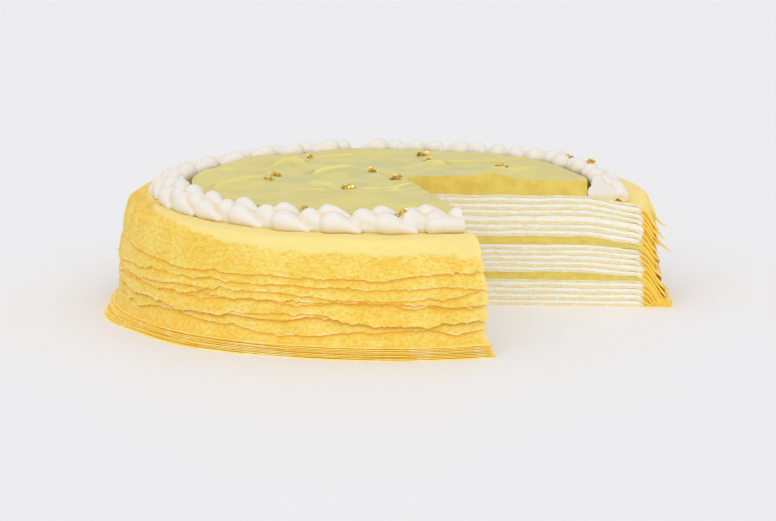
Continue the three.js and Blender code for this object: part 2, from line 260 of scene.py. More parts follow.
BULGE_FROM, BULGE_TO = 91.5, 105.0  # it grows between these radii
BULGES = [(28, 20, 2.2), (190, 34, 1.2)]  # degrees, half width in degrees, millimetres
SPRING = 0.6  # for each millimetre beyond SPRING_R
SPRING_R = 112.0
SPRING_WIDTH = math.radians(5)


def around(places, angle):
    """The sum of what lies round an angle, of places given as degrees, width and size."""
    degrees = np.degrees(angle)
    return sum(size * bell((degrees - at) / width) for at, width, size in places)


def on_ray(angle, radius):
    """x and y where the ray from the apex reaches that radius round the cake's middle."""
    grown = np.clip((radius - BULGE_FROM) / (BULGE_TO - BULGE_FROM), 0, 1)
    far = radius + grown * around(BULGES, angle)
    c, s = np.cos(angle), np.sin(angle)
    reach = -APEX * c + np.sqrt(far**2 - (APEX * s) ** 2)
    sprung = SPRING * np.maximum(far - SPRING_R, 0) * bell((SWEEP - angle) / SPRING_WIDTH)
    return APEX + reach * c - sprung * s, reach * s + sprung * c


rim_x, rim_y = on_ray(theta, FLAT_R)
print("stations every", round(math.degrees(theta[1]), 2), "degrees")

# %% [markdown]
# ## The flat part that all layers share
# Inside the hanging margins every layer is the same flat shape with a slice missing. It could be a grid of
# rays, but rays crowd at the apex and are too far apart at the rim. A triangulation fits better: its
# outline has a point every half millimetre along the cuts, where it shows, and few points inside.

# %% Flat shape
from mathutils.geometry import delaunay_2d_cdt

INSIDE_STEP = 9.0
INSIDE_CLEAR = 4.0


def flat_shape():
    """Points and triangles of the flat part, and which points lie on each cut and on the rim."""
    steps = round((FLAT_R - APEX) / CUT_STEP)
    share = np.linspace(0, 1, steps + 1)
    first = [(APEX + (rim_x[0] - APEX) * part, rim_y[0] * part) for part in share]
    last = [(APEX + (rim_x[-1] - APEX) * part, rim_y[-1] * part) for part in share]
    rim = list(zip(rim_x, rim_y))
    outline = first + rim[1:-1] + last[:0:-1]
    inside = []
    for x in np.arange(-FLAT_R, FLAT_R, INSIDE_STEP):
        for y in np.arange(-FLAT_R, FLAT_R, INSIDE_STEP):
            turn = math.atan2(y, x - APEX) % (2 * math.pi)
            far = math.hypot(x - APEX, y)
            gaps = [far * math.sin(min(part, math.pi / 2)) for part in (turn, theta[-1] - turn)]
            within = math.hypot(x, y) < FLAT_R - INSIDE_CLEAR
            if turn < theta[-1] and min(gaps) > INSIDE_CLEAR and within:
                inside.append((x, y))
    points = [Vector(point) for point in outline + inside]
    made = delaunay_2d_cdt(points, [], [list(range(len(outline)))], 1, 1e-6)
    xy = np.array([tuple(point) for point in made[0]])
    triangles = np.array([list(face) for face in made[2]])
    first_cut = np.arange(steps + 1)
    rim_places = np.arange(steps, steps + STATIONS + 1)
    last_cut = np.concatenate([[0], np.arange(len(outline) - 1, steps + STATIONS - 1, -1)])
    return xy, triangles, first_cut, last_cut, rim_places


flat_xy, flat_triangles, first_cut, last_cut, rim_places = flat_shape()
print("flat part:", len(flat_xy), "points,", len(flat_triangles), "triangles")

# %% [markdown]
# ## Layers that wave a little
# A real stack isn't ruled: each layer rises and sinks by a few tenths of a millimetre. Where the slice was
# taken out the two custard bands were pressed thin at their ends, so everything above them sags there. One
# smooth field moves all heights, so that neighbours move together and never pass through each other.

# %% Waves
# Height, how quickly it changes from layer to layer, width and seed of each wave.
LAYER_WAVES = [(0.4, 3, 38, 11), (0.3, 4, 9, 12), (0.13, 2.2, 3.6, 13)]
SETTLED = 8.0  # the waves grow to their full size up to here
SAG = 4.2
SAG_WIDTH = 11.0  # how far from the first cut it reaches
SAG_FROM, SAG_TO = 84.0, 110.0  # it grows between these radii
SAG_AT = [0, 11.2, 14.3, 26.2, 30.1, 60]  # heights, and the share of the sag at each
SAG_SHARE = [0, 0.03, 0.4, 0.45, 1, 1]


def sag(x, y, z):
    """How far the stack has sunk beside the first cut."""
    far = np.hypot(x, y)
    near = bell(y / SAG_WIDTH) * (x > 0)
    ring = np.clip((far - SAG_FROM) / (SAG_TO - SAG_FROM), 0, 1)
    return SAG * near * ring * np.interp(z, SAG_AT, SAG_SHARE)


def waved(x, y, z):
    """The height of what was laid at height z."""
    wave = sum(size * noise(x, y, z * change, width, seed) for size, change, width, seed in LAYER_WAVES)
    return z + np.clip(z / SETTLED, 0, 1) * wave - sag(x, y, z)


KNIFE = 0.22  # how uneven the knife left the cut faces
KNIFE_RIDGES = 0.8  # its fine ridges, as a share of its broad hollows


def knife_shift(along, z):
    """How far the cut face lies before or behind the plane of the cut."""
    hollow, ridge = noise(along, 0, z, 7, 21), noise(along * 0.6, 3, z, 1.6, 22)
    return KNIFE * (hollow + KNIFE_RIDGES * ridge)


print("the shoulder sags by up to", round(float(sag(SAG_TO, 0, STACK_TOP)), 1), "mm beside the first cut")


# %% [markdown]
# ## Closing a layer
# A layer has an upper and a lower skin with the same points. Along its outer edge a strip joins them, and
# at each cut a grid of small faces does. The grid's inner rows sink or swell a little, so that crumb and
# cream catch the light differently.

# %% Closed layer
CUT_ROWS = 3
CREPE_SWELL, CREAM_SWELL, BAND_SWELL = 0.1, -0.06, 0.02  # of each layer's cut face
SWELL_SIZE = 1.3
HEM_ROUND = 0.05
APEX_TRUE = 3.0  # this close to the apex the cut faces come back to their planes
CUTS_APART = 200  # so that the two cuts are uneven in different ways


def cut_side(turn):
    """The direction out of a cut face that leaves the apex at this angle, on the side of the gap."""
    return (math.sin(turn), -math.cos(turn)) if turn == 0 else (-math.sin(turn), math.cos(turn))


def from_apex(points):
    """Distance from the apex, and a share that grows from 0 at the apex to 1 a little way off."""
    along = np.hypot(points[:, 0] - APEX, points[:, 1])
    return along, np.clip(along / APEX_TRUE, 0, 1)


def move_cut(points, turn):
    """Shifts points of a cut edge off the plane of the cut."""
    out = cut_side(turn)
    along, free = from_apex(points)
    shift = knife_shift(along + CUTS_APART * turn, points[:, 2]) * free
    points[:, 0] += out[0] * shift
    points[:, 1] += out[1] * shift


def close_layer(shape, upper, lower, swell, seed):
    """Joins the skins of a layer at its cuts and its edge.

    upper and lower are the skins' own points there, as [first cut, last cut, edge].
    """
    apex = None
    ends = []
    for side, turn in enumerate((0.0, float(theta[-1]))):
        top, bottom = upper[side], lower[side]
        for line in (top, bottom):
            moved = shape.points[line]
            move_cut(moved, turn)
            shape.points[line] = moved
        rows = [bottom]
        out = cut_side(turn)
        for row in range(1, CUT_ROWS):
            part = row / CUT_ROWS
            middle = shape.between(bottom, top, part)
            along, free = from_apex(middle)
            uneven = 1 + noise(along, row * 3, 0, SWELL_SIZE, seed)
            puff = swell * math.sin(math.pi * part) * uneven * free
            x, y = middle[:, 0] + out[0] * puff, middle[:, 1] + out[1] * puff
            sunk = shape.paint["sunk"][top]
            if apex is None:
                numbers = shape.add(x, y, middle[:, 2], sunk=sunk, crest=1.0)
            else:
                rest = shape.add(x[1:], y[1:], middle[1:, 2], sunk=sunk[1:], crest=1.0)
                numbers = np.concatenate([[apex[row - 1]], rest])
            rows.append(numbers)
        apex = apex or [numbers[0] for numbers in rows[1:]]
        rows.append(top)
        ends.append([numbers[-1] for numbers in rows])
        shape.grid(np.array(rows), flip=side == 0, cut=True)
    edge = [lower[2]]
    for row in range(1, CUT_ROWS):
        part = row / CUT_ROWS
        middle = shape.between(lower[2], upper[2], part)
        out = HEM_ROUND * math.sin(math.pi * part) / np.hypot(middle[:, 0], middle[:, 1])
        x, y = middle[1:-1, 0] * (1 + out[1:-1]), middle[1:-1, 1] * (1 + out[1:-1])
        sunk, below = shape.paint["sunk"][upper[2]], shape.paint["below"][upper[2]]
        numbers = shape.add(x, y, middle[1:-1, 2], sunk=sunk[1:-1], below=below[1:-1], hem=0.0)
        edge.append(np.concatenate([[ends[0][row]], numbers, [ends[1][row]]]))
    edge.append(upper[2])
    shape.grid(np.array(edge), flip=True)


def skins(shape, top, bottom, upper_ring, lower_ring):
    """Adds both skins: the flat part, and the rings of its margin. Returns what close_layer needs."""
    lines = []
    for heights, ring, flip in ((top, upper_ring, False), (bottom, lower_ring, True)):
        flat = shape.add(flat_xy[:, 0], flat_xy[:, 1], heights, sunk=0.0)
        shape.fill(flat_triangles, flip)
        shape.faces[-1] = flat[shape.faces[-1]]
        x, y, z, paint = ring
        margin = shape.add(x, y, z, **paint)
        rows = np.concatenate([flat[rim_places][None, :], margin])
        shape.grid(rows, flip)
        first = np.concatenate([flat[first_cut], margin[:, 0]])
        last = np.concatenate([flat[last_cut], margin[:, -1]])
        lines.append([first, last, margin[-1]])
    return lines


print("each cut edge has", len(first_cut), "points on its flat part, in", CUT_ROWS + 1, "rows")


# %% [markdown]
# ## How a margin falls
# Beyond the flat part a crepe bends over the shoulder and hangs down the wall. Low crepes meet the pile
# below them and slide out along it, which makes the foot flare. A curve could be drawn for each crepe, but
# it is easier to walk: at every step the sheet leans more, unless the pile below holds it up. Beside the
# first cut the knife has opened the bundle of margins, so that they lean less and lie further apart, and
# beside the second one the shoulder has slumped into a rounder bend.

# %% Falling margins
CREPE = 0.95
STEP = 0.2
WALK = 190  # steps of the longest margin
FLAT_MARGIN = 7.4  # length that stays flat
BEND = 8.0  # length over which the sheet bends
WALL_LEAN = math.radians(78)
HANG_LEAN = math.radians(83)  # it grows steeper where it hangs lower than usual
HANG_FROM, HANG_GROWS = 22, 8  # from this length on, and over this length
OPENED_LEAN = math.radians(62)
OPENED_WIDTH = math.radians(5)
OPENED_EARLIER = 1.4  # the opened margins bend this much earlier
ROUNDED_WIDTH = math.radians(6)  # how far from the second cut the shoulder is rounder
ROUNDED_EARLIER = 7.0
ROUNDED_BEND = 12.0
LANDING = 1.3  # height over which a falling margin comes to lie on the pile
SHEET = 0.46  # thickness of a hanging margin
OPENED_SHEET = 0.76
LYING_SHEET = 0.5
THIN_FROM, THIN_GROWS = 7, 9  # it thins from this length on, and over this length

walked = np.arange(WALK + 1) * STEP
opened = bell(theta / OPENED_WIDTH)
rounded = bell((SWEEP - theta) / ROUNDED_WIDTH)


def lean_at(length):
    """How steep a margin is after this length, at every station."""
    flat = FLAT_MARGIN - OPENED_EARLIER * opened - ROUNDED_EARLIER * rounded
    share = np.clip((length - flat) / (BEND + ROUNDED_BEND * rounded), 0, 1)
    bend = 0.5 * share + 0.5 * ease(share)
    steeper = (HANG_LEAN - WALL_LEAN) * ease((length - HANG_FROM) / HANG_GROWS)
    return bend * (WALL_LEAN + (OPENED_LEAN - WALL_LEAN) * opened) + steeper * (1 - opened)


def thickness(lengths):
    """How thick a margin is at these lengths, with a row for each station."""
    sheet = SHEET + (OPENED_SHEET - SHEET) * opened[:, None]
    return CREPE + (sheet - CREPE) * ease((lengths - THIN_FROM) / THIN_GROWS)


def lying_height(number):
    """Height of a crepe's upper face where its margin lies on those below."""
    return number * LYING_SHEET + (number - 1) * FILM


def fall(number, top):
    """Radius, height and lean of a crepe's upper face along its margin: stations by steps."""
    floor = lying_height(number)
    radius = np.full(theta.shape, FLAT_R)
    height = waved(rim_x, rim_y, top) + sag(rim_x, rim_y, top)
    found = []
    for length in walked:
        lean = lean_at(length) * np.clip((height - floor) / LANDING, 0, 1)
        sunk = np.maximum(height - sag(*on_ray(theta, radius), top), np.minimum(height, floor))
        found.append((radius, sunk, lean))
        radius = radius + STEP * np.cos(lean)
        height = height - STEP * np.sin(lean)
    return [np.array(column).T for column in zip(*found)]


falls = {number: fall(number, tops[place]) for number, place in enumerate(crepe_at, 1)}
print("the top crepe's margin reaches", round(falls[TOP_CREPE][0].max(), 1), "mm")

# %% [markdown]
# ## Where each margin ends
# The hems are torn, not cut. Long waves make them cross and cover each other, and short ones fray them. A
# few are listed as pulled up or left longer, because those make the long lines that the eye follows.

# %% Hems
HEM_WAVE = 1.8
HEM_WAVELET = 0.6  # as a share of the wave
HEM_TEAR = 0.7
TEAR_DEEPER = 1.6
HEM_FRAY = 0.5
HEMS_APART = 50  # so that no two hems are torn alike
LENGTH_AT_CUT = 21.0  # of the opened margins
RAGGED_AT_CUT = 0.4
FOOT_R = 114.8
FOOT_BACK = 0.5  # no hem at the foot ends further in than this
FOOT_FLARE = 3.4  # how much further out the lowest hems end
FOOT_SPREADS = [(199, 13, 4.2), (229, 13, 3.8), (168, 16, -2.0), (3, 25, 2.8)]  # as in BULGES
FOOT_HEIGHT = 3.2  # height over which the flare fades
FOOT_RAGGED = 0.25
FOOT_VARIES = 0.8

# Mean height of the hems that hang, from the top crepe down.
HEM_HEIGHTS = {17: 32.4, 16: 28.2, 15: 26.0, 14: 22.6, 13: 21.4, 12: 15.8, 11: 14.4, 10: 10.2}

# Margins that hang lower or higher than the rest: crepe, degrees, half width, millimetres longer.
LONGER = [
    (17, 190, 16, -2.2),
    (17, 233, 14, 2.4),
    (17, 283, 9, -2.4),
    (16, 196, 24, 4.6),
    (16, 249, 10, -1.2),
    (16, 268, 9, 1.0),
    (15, 205, 22, 3.0),
    (15, 275, 14, 1.4),
    (14, 225, 26, 2.0),
    (13, 200, 22, 2.4),
    (12, 225, 22, 1.6),
    (11, 265, 26, -1.2),
    (10, 285, 12, -1.4),
]


def hem_line(number):
    """How much lower than its mean a hem hangs at every station, with its waves, tears and frays."""

    def uneven(width, seed):
        return noise(theta * FOOT_R, number * HEMS_APART, 0, width, seed)

    line = HEM_WAVE * uneven(42, 31)
    line += HEM_WAVELET * HEM_WAVE * uneven(15, 32)
    for crepe, angle, width, longer in LONGER:
        if crepe == number:
            line += longer * bell((np.degrees(theta) - angle) / width)
    torn = uneven(5.5, 33)
    line += HEM_TEAR * torn * np.abs(torn) * TEAR_DEEPER
    frayed = 0.5 + 0.5 * uneven(9, 36)
    for width, seed in ((1.9, 34), (0.7, 35)):
        line += HEM_FRAY * frayed * uneven(width, seed)
    return line


def walk_to(wanted, table):
    """The length at which each station's row of a table reaches what is wanted there."""
    return np.array([np.interp(value, row, walked) for value, row in zip(wanted, table)])


def hem_length(number):
    """How far along its margin each station's hem lies."""
    radius, height, _ = falls[number]
    line = hem_line(number)
    spread = FOOT_FLARE + around(FOOT_SPREADS, theta)
    spread = spread * math.exp(-(lying_height(number) - LYING_SHEET) / FOOT_HEIGHT)
    varies = FOOT_VARIES * noise(theta * FOOT_R, number * HEMS_APART, 0, 26, 37)
    reach = FOOT_R + spread + FOOT_RAGGED * line + varies * (number > 1)
    found = walk_to(np.maximum(reach, FOOT_R - FOOT_BACK), radius)
    if number in HEM_HEIGHTS:
        found = np.minimum(found, walk_to(line - HEM_HEIGHTS[number], -height))
        found = found + (LENGTH_AT_CUT + RAGGED_AT_CUT * line - found) * opened
    return found


hems = {number: hem_length(number) for number in falls}


def at_length(table, length):
    """Reads a table of stations by steps at any length along the margin."""
    place = np.clip(length / STEP, 0, WALK - 1e-6)
    low = place.astype(int)
    part = place - low
    rows = np.arange(len(table))[:, None] if np.ndim(length) == 2 else np.arange(len(table))
    return table[rows, low] * (1 - part) + table[rows, low + 1] * part


hem_heights = {number: at_length(falls[number][1], hems[number]) for number in falls}
top_hem = hem_heights[TOP_CREPE]
print("hem of the top crepe:", round(top_hem.min(), 1), "to", round(top_hem.max(), 1), "mm high")

# %% [markdown]
# ## The soft wall and its creases
# The whole wall swells and sinks gently. That is one shared field, so that the sheets and the fillings
# between them stay clear of each other. Fine folds run round the shoulder, deeper on the left, where the
# skin has browned and shrunk. Each fold is a height for the mesh, and its furrow gets painted shade.

# %% Relief of the wall
WALL_SWELL = 0.5
SWELLS = [(1, 1, 34, 41), (0.45, 2, 11, 42)]  # share, change with height, width and seed
SWELLS_FROM, SWELLS_OVER = 104, 8  # radius from which it swells, and over which
SWELLS_ABOVE = 5  # the foot stays where it is, up to about this height
WALL_SPREAD, SPREAD_BELOW = 1.5, 36.0  # the wall stands out by this much more towards its foot
CREASE = 0.3
LEFT_CREASE = 0.5
LEFT = math.radians(188)
LEFT_WIDTH = 0.42  # in radians
CREASE_SIZE = 2.3
CREASE_SLANT = 0.11  # how much slower the folds change round the cake than down it
CREASE_DRIFT, DRIFT_SIZE = 2.5, 24
CREASES_FROM, FURROWS_END, FURROWS_FADE = 3, 12, 5  # lengths along the margin


def swollen(angle, radius, z):
    """The radius after the gentle swell of the wall has moved it."""
    along = angle * FOOT_R
    swell = sum(share * noise(along, z * change, 0, width, seed) for share, change, width, seed in SWELLS)
    moved = WALL_SWELL * swell + WALL_SPREAD * (1 - np.clip(z / SPREAD_BELOW, 0, 1))
    return radius + moved * ease((radius - SWELLS_FROM) / SWELLS_OVER) * ease(z / SWELLS_ABOVE)


def creases(number, angle, length):
    """Height of the fine folds round the shoulder, and how much painted shade their furrows get."""
    along = angle * FOOT_R
    left = bell((angle - LEFT) / LEFT_WIDTH)
    depth = CREASE + (LEFT_CREASE - CREASE) * left
    drift = CREASE_DRIFT * noise(along, length, 0, DRIFT_SIZE, 43)
    fold = noise(along * CREASE_SLANT, length + drift, number * 9, CREASE_SIZE, 44)
    furrow_shade = left * (0.5 - fold) * (1 - ease((length - FURROWS_END) / FURROWS_FADE))
    return depth * (0.5 + 0.5 * fold) * ease(length / CREASES_FROM), furrow_shade


half_way_up = swollen(theta, FOOT_R, STACK_TOP / 2) - FOOT_R
print("half way up the wall moves by", round(half_way_up.min(), 2), "to", round(half_way_up.max(), 2), "mm")


# %% [markdown]
# ## How a margin curls and thins
# A dry edge curls out where nothing holds it down, and elsewhere it sticks to the sheet below. It is
# thinnest at its hem. Where it has landed on the pile it lies flat, and its edge stays thicker.

# %% Curl and thickness
LIFT, LIFT_MEAN = 0.2, 0.55
LIFT_LENGTH = 5.0
STUCK, STUCK_VARIES = 0.3, 1.5
HELD_LIFT = 0.25  # share of the lift that is left under another margin
BARE_FROM, BARE_OVER = -1.0, 2.5  # a point counts as bare from just under the covering hem
LYING_LEAN, LYING_OVER = math.radians(14), math.radians(10)
MARGIN_FROM = 14  # a sheet thins and lies down only from this length on
SHEET_EDGE = 0.12
EDGE_LENGTH = 3
LYING_EDGE, LYING_EDGE_LENGTH = 0.6, 1.2  # share of the sheet, and over what length


def hung_below(number, height):
    """How far points hang below the hems that cover them. Less than 0 is hidden."""
    if number == TOP_CREPE:
        return np.full(height.shape, FAR / 2)
    covers = [hem_heights[above] for above in range(number + 1, TOP_CREPE + 1)]
    return np.min(covers, axis=0)[:, None] - height


def curl(number, along, to_hem, bare):
    """How far a margin lifts off what lies under it."""
    free = 1 - ease(to_hem / LIFT_LENGTH)
    stuck = ease(STUCK + STUCK_VARIES * noise(along, number * 70, 0, 16, 47))
    uneven = LIFT_MEAN + noise(along, number * 60, 0, 9, 45)
    return LIFT * uneven * free**2 * (HELD_LIFT + (1 - HELD_LIFT) * bare) * stuck


def lying(lean, lengths):
    """1 where a margin lies on the pile."""
    return ease((LYING_LEAN - lean) / LYING_OVER) * ease(lengths / MARGIN_FROM)


def margin_thickness(lengths, to_hem, flat):
    """Thickness of a margin, with its thin hem and its parts that lie flat."""
    thinned = (1 - SHEET_EDGE / SHEET) * (1 - ease(to_hem / EDGE_LENGTH)) * ease(lengths / MARGIN_FROM)
    thick = thickness(lengths) * (1 - thinned)
    edge = LYING_EDGE + (1 - LYING_EDGE) * ease(to_hem / LYING_EDGE_LENGTH)
    return thick * (1 - flat) + LYING_SHEET * flat * edge


hem_sheet = margin_thickness(np.full((1, 1), walked[-1]), 0.0, 0.0)
print("a hanging hem is", round(hem_sheet.min(), 2), "to", round(hem_sheet.max(), 2), "mm thick")


# %% [markdown]
# ## The two skins of a margin
# The walk gives the upper skin's line. Here the curl and the creases are added to it, the lower skin is laid
# under it, and the points are painted. The lower skin leaves out the creases, except near the hem where it
# shows, so that it stays clear of the filling below.

# %% Margins
PUFF = 0.1
PUFF_SIZE = 3.2
LOWER_PUFF = 4  # the lower skin is puffed this close to the hem
BROWNED_LEFT = 13.0  # on the left the browned part starts this much earlier along the margin
BROWNED_WIDTH = 0.62  # in radians


def margin_ring(number, lengths, upper):
    """Points of a margin's upper or lower skin: rings by stations, with its paint."""
    radius, height, lean = [at_length(table, lengths) for table in falls[number]]
    angle = theta[:, None]
    along = angle * FOOT_R
    to_hem = hems[number][:, None] - lengths
    below = hung_below(number, height)
    bare = ease((below - BARE_FROM) / BARE_OVER)
    creased, furrow_shade = creases(number, angle, lengths)
    puffed = PUFF * (1 + noise(along, lengths * 1.5, number * 60, PUFF_SIZE, 46)) + creased
    shown = 1 if upper else 1 - ease(to_hem / LOWER_PUFF)
    lift = curl(number, along, to_hem, bare) + puffed * bare * shown
    flat = lying(lean, lengths)
    thick = margin_thickness(lengths, to_hem, flat)
    if number == 1:
        thick = np.full(height.shape, CREPE)
        lift = lift * 0
    depth = 0 if upper else thick
    out = (lift - depth) * np.sin(lean)
    up = (lift * (1 - flat) - depth) * np.cos(lean)
    x, y = on_ray(np.broadcast_to(angle, radius.shape), swollen(angle, radius + out, height))
    browned = BROWNED_LEFT * bell((angle - LEFT) / BROWNED_WIDTH)
    brink = np.broadcast_to(FOOT_R * np.minimum(angle, SWEEP - angle), radius.shape)
    below = np.clip(below + 2 * FAR * flat, -FAR, FAR)
    paint = {"sunk": lengths + browned, "hem": to_hem, "below": below, "brink": brink, "crest": furrow_shade}
    return x.T, y.T, np.maximum(height + up, 0).T, {name: value.T for name, value in paint.items()}


longest = max(hems.values(), key=np.max)
print("the longest margin is", round(longest.max(), 1), "mm long")


# %% [markdown]
# ## Torn strips
# Beside the cuts and at the foot, narrow strips have come loose and curl away from the wall. A strip could
# be pulled out of the margin's own mesh, but a small loft that starts inside the wall is easier to aim: it
# walks outwards as a margin does, and gets thinner and narrower on the way.

# %% Torn strips
# Crepe, degrees, radius and height of the root, lean at root and tip in degrees, length, half width.
TORN_STRIPS = [
    (17, 6, (110.4, 43.5), (62, 70), 7.4, 1.5),
    (16, 8, (111.9, 38), (64, 0), 8.6, 0.8),
    (16, 7, (111.9, 37.6), (63, 50), 12.2, 0.9),
    (15, 6, (108.8, 31.6), (52, 34), 14.4, 1.9),
    (12, 8, (113.2, 19.5), (74, 62), 9, 1.0),
    (3, 8, (114.8, 8.4), (48, 18), 6.4, 2.0),
    (4, 5, (114.6, 10), (56, 36), 7.4, 1.6),
    (3, 11, (115.4, 6), (38, 30), 5.6, 1.6),
    (16, 186, (110, 31), (50, 36), 8.6, 0.8),
    (15, 188, (110.4, 29.4), (54, 44), 7.0, 0.7),
]
STRIP_STEPS = 12
STRIP_ROOT, STRIP_TIP = 0.8, 0.08  # half thickness
STRIP_WOBBLE = 14  # degrees
STRIP_NARROWS = 0.8
STRIP_SUNK = 12.0  # painted as if it had been this far along the margin


def add_strip(shape, degrees, root, leans, length, half):
    """A narrow strip torn loose from a margin. It starts inside the wall and curls away from it."""
    share = np.linspace(0, 1, STRIP_STEPS + 1)
    wobble = STRIP_WOBBLE * noise(share * 3, degrees, root[1], 1, 48)
    lean = np.radians(leans[0] + (leans[1] - leans[0]) * share**1.4 + wobble)
    step = length / STRIP_STEPS
    radius = root[0] + np.cumsum(np.cos(lean) * step)
    height = root[1] - np.cumsum(np.sin(lean) * step)
    width = half * (1 - STRIP_NARROWS * share**2)
    thick = STRIP_TIP + (STRIP_ROOT - STRIP_TIP) * (1 - share**2) * min(1, half)
    side = np.array([-1, 1, 1, -1])
    face = np.array([-1, -1, 1, 1])
    angle = math.radians(degrees) + side * width[:, None] / FOOT_R
    x, y = on_ray(angle, radius[:, None] + face * (thick * np.sin(lean))[:, None])
    z = height[:, None] + face * (thick * np.cos(lean))[:, None]
    hem = (length * (1 - share))[:, None]
    rows = shape.add(x, y, np.maximum(z, 0), sunk=STRIP_SUNK, hem=hem, below=FAR / 2, brink=FAR)
    shape.grid(np.concatenate([rows, rows[:, :1]], 1))
    shape.fill([rows[0]])
    shape.fill([rows[-1]], flip=True)


print(len(TORN_STRIPS), "torn strips, the longest", max(strip[4] for strip in TORN_STRIPS), "mm")


# %% [markdown]
# ## The crepes
# Each crepe is one thin closed sheet: flat inside, bent over the shoulder, and torn at its hem. The rings
# of its margin crowd towards the hem, because the rest of it hides under the next crepe.

# %% Crepes
HIDDEN_RINGS, HIDDEN_CROWD = 16, 1.5
SHOWN_RINGS, SHOWN_CROWD = 36, 1.1


def stacked(place):
    """Heights of the upper and the lower face of a layer's flat part."""
    return [waved(flat_xy[:, 0], flat_xy[:, 1], height) for height in (tops[place], bottoms[place])]


def crepe_mesh(number):
    """The mesh of one crepe, counted from the plate."""
    rings, crowd = (SHOWN_RINGS, SHOWN_CROWD) if number == TOP_CREPE else (HIDDEN_RINGS, HIDDEN_CROWD)
    share = 1 - (1 - np.linspace(0, 1, rings + 1)[1:]) ** crowd
    lengths = hems[number][:, None] * share
    shape = Shape()
    upper, lower = margin_ring(number, lengths, True), margin_ring(number, lengths, False)
    lines = skins(shape, *stacked(crepe_at[number - 1]), upper, lower)
    close_layer(shape, *lines, CREPE_SWELL, 50 + number)
    for crepe, *strip in TORN_STRIPS:
        if crepe == number:
            add_strip(shape, *strip)
    return shape.mesh(f"baked_crepe_{number:02}")


crepes = []
for number, place in enumerate(crepe_at, 1):
    crepes.append(add_piece(f"baked_crepe_{number:02}", crepe_mesh(number), "crepe", layers[place]))
print(len(crepes), "crepes,", sum(len(crepe.data.polygons) for crepe in crepes), "faces")

# %% [markdown]
# ## Cream and custard between the crepes
# A filling takes the space between the crepe below it and the crepe above it, and thins out where the
# two come together over the shoulder.

# %% Fillings
FILLED = 13.0  # how far along the margins a filling reaches
FILLED_AT_CUT = 19.6
FILLED_UNEVEN = 0.9
KEPT_BACK = 1.6  # it stays this far behind the hems
CLEAR = 0.025  # clearance, as a share of the space between two crepes
LIP, LIP_SHARP = 0.45, 6  # how much it thins towards its edge, and how late
FILLING_RINGS = 14


def filling_ring(under, low, high, place):
    """Points of a filling between the margins of two crepes, for its lower and its upper skin."""
    uneven = FILLED_UNEVEN * noise(theta * FOOT_R, place * 40, 0, 6, 61)
    wanted = FILLED + (FILLED_AT_CUT - FILLED) * opened + uneven
    ends = np.minimum(wanted, np.minimum(hems[under], hems[under + 1]) - KEPT_BACK)
    part = np.arange(1, FILLING_RINGS + 1) / FILLING_RINGS
    lengths = ends[:, None] * part
    radius, height, _ = [at_length(table, lengths) for table in falls[under]]
    far, top, lean = [at_length(table, lengths) for table in falls[under + 1]]
    far = far - thickness(lengths) * np.sin(lean)
    top = top - thickness(lengths) * np.cos(lean)
    rings = []
    middle = (low + high) / 2
    for share in (low, high):
        share = middle + (share - middle) * (1 - LIP * part**LIP_SHARP)
        z = height + share * (top - height)
        r = swollen(theta[:, None], radius + share * (far - radius), z)
        x, y = on_ray(np.broadcast_to(theta[:, None], r.shape), r)
        rings.append((x.T, y.T, z.T, {"sunk": lengths.T}))
    return rings


def filling_mesh(place):
    """The mesh of the filling at this place in the stack."""
    node = layers[place]
    under = sum(other < place for other in crepe_at)
    low_top = tops[crepe_at[under - 1]]
    space = bottoms[crepe_at[under]] - low_top - 2 * FILM
    low = (bottoms[place] - low_top - FILM) / space + CLEAR
    high = (tops[place] - low_top - FILM) / space - CLEAR
    lower_ring, upper_ring = filling_ring(under, low, high, place)
    shape = Shape()
    lines = skins(shape, *stacked(place), upper_ring, lower_ring)
    close_layer(shape, *lines, CREAM_SWELL if node.startswith("cream") else BAND_SWELL, 80 + place)
    return shape.mesh("spread_" + node)


fillings = []
for place, node in enumerate(layers):
    if place not in crepe_at:
        kind = "cream" if node.startswith("cream") else "custard"
        fillings.append(add_piece("spread_" + node, filling_mesh(place), kind, node))
print(len(fillings), "fillings")

# %% [markdown]
# ## The marks of the palette knife
# The custard on top was spread with a palette knife, and each stroke ended in a low curved ridge: steep on
# the side where the blade stood and gentle on the other. Sculpting would do, but then every ridge is lost
# when the disc changes. Here the ridges that catch the eye are listed curves, and the small ones
# between them are arcs of circles from a seeded draw.

# %% Knife marks
# Crests that the knife left: start, middle and end, each as x and y, and height.
CRESTS = [
    ((-84, -14), (-76, 14), (-58, 9), 1.8),
    ((-55, 14), (-47, 34), (-34, 24), 2.2),
    ((-74, -37), (-66, -20), (-44, -6), 2.0),
    ((-35, -1), (-27, 15), (-11, 18), 2.0),
    ((-37, 44), (-29, 53), (-15, 59), 1.6),
    ((-31, -9), (-26, -30), (-19, -32), 1.9),
    ((41, 36), (50, 15), (67, 37), 1.8),
    ((-12, -33), (0, -35), (15, -6), 2.0),
    ((-2, -50), (4, -36), (7, -28), 1.4),
    ((-45, -38), (-32, -41), (-20, -44), 1.4),
    ((10, 34), (18, 38), (24, 30), 1.6),
]
CREST_POINTS = 32
CREST_FADES = 0.3  # share of a crest over which each end fades
BLADE_SIDE = 0.8  # how soon a ridge falls off where the blade stood
TRAIL_SIDE = 7.0
SHINE_BLADE, SHINE_TRAIL = 0.7, 2.2  # how far the painted highlight on a crest reaches on each side
FOOT_AT, FOOT_WIDE, BLADE_FOOT_SHADE = 3.2, 2, 0.7  # painted shade at the foot of the blade side
WANDER, WANDER_SIZE = 1.6, 15  # how the ridges stray from their curves
STROKES = 18
STROKES_OUT_TO = 78
STROKE_HEIGHT = 0.9
STROKE_FADES = 0.6


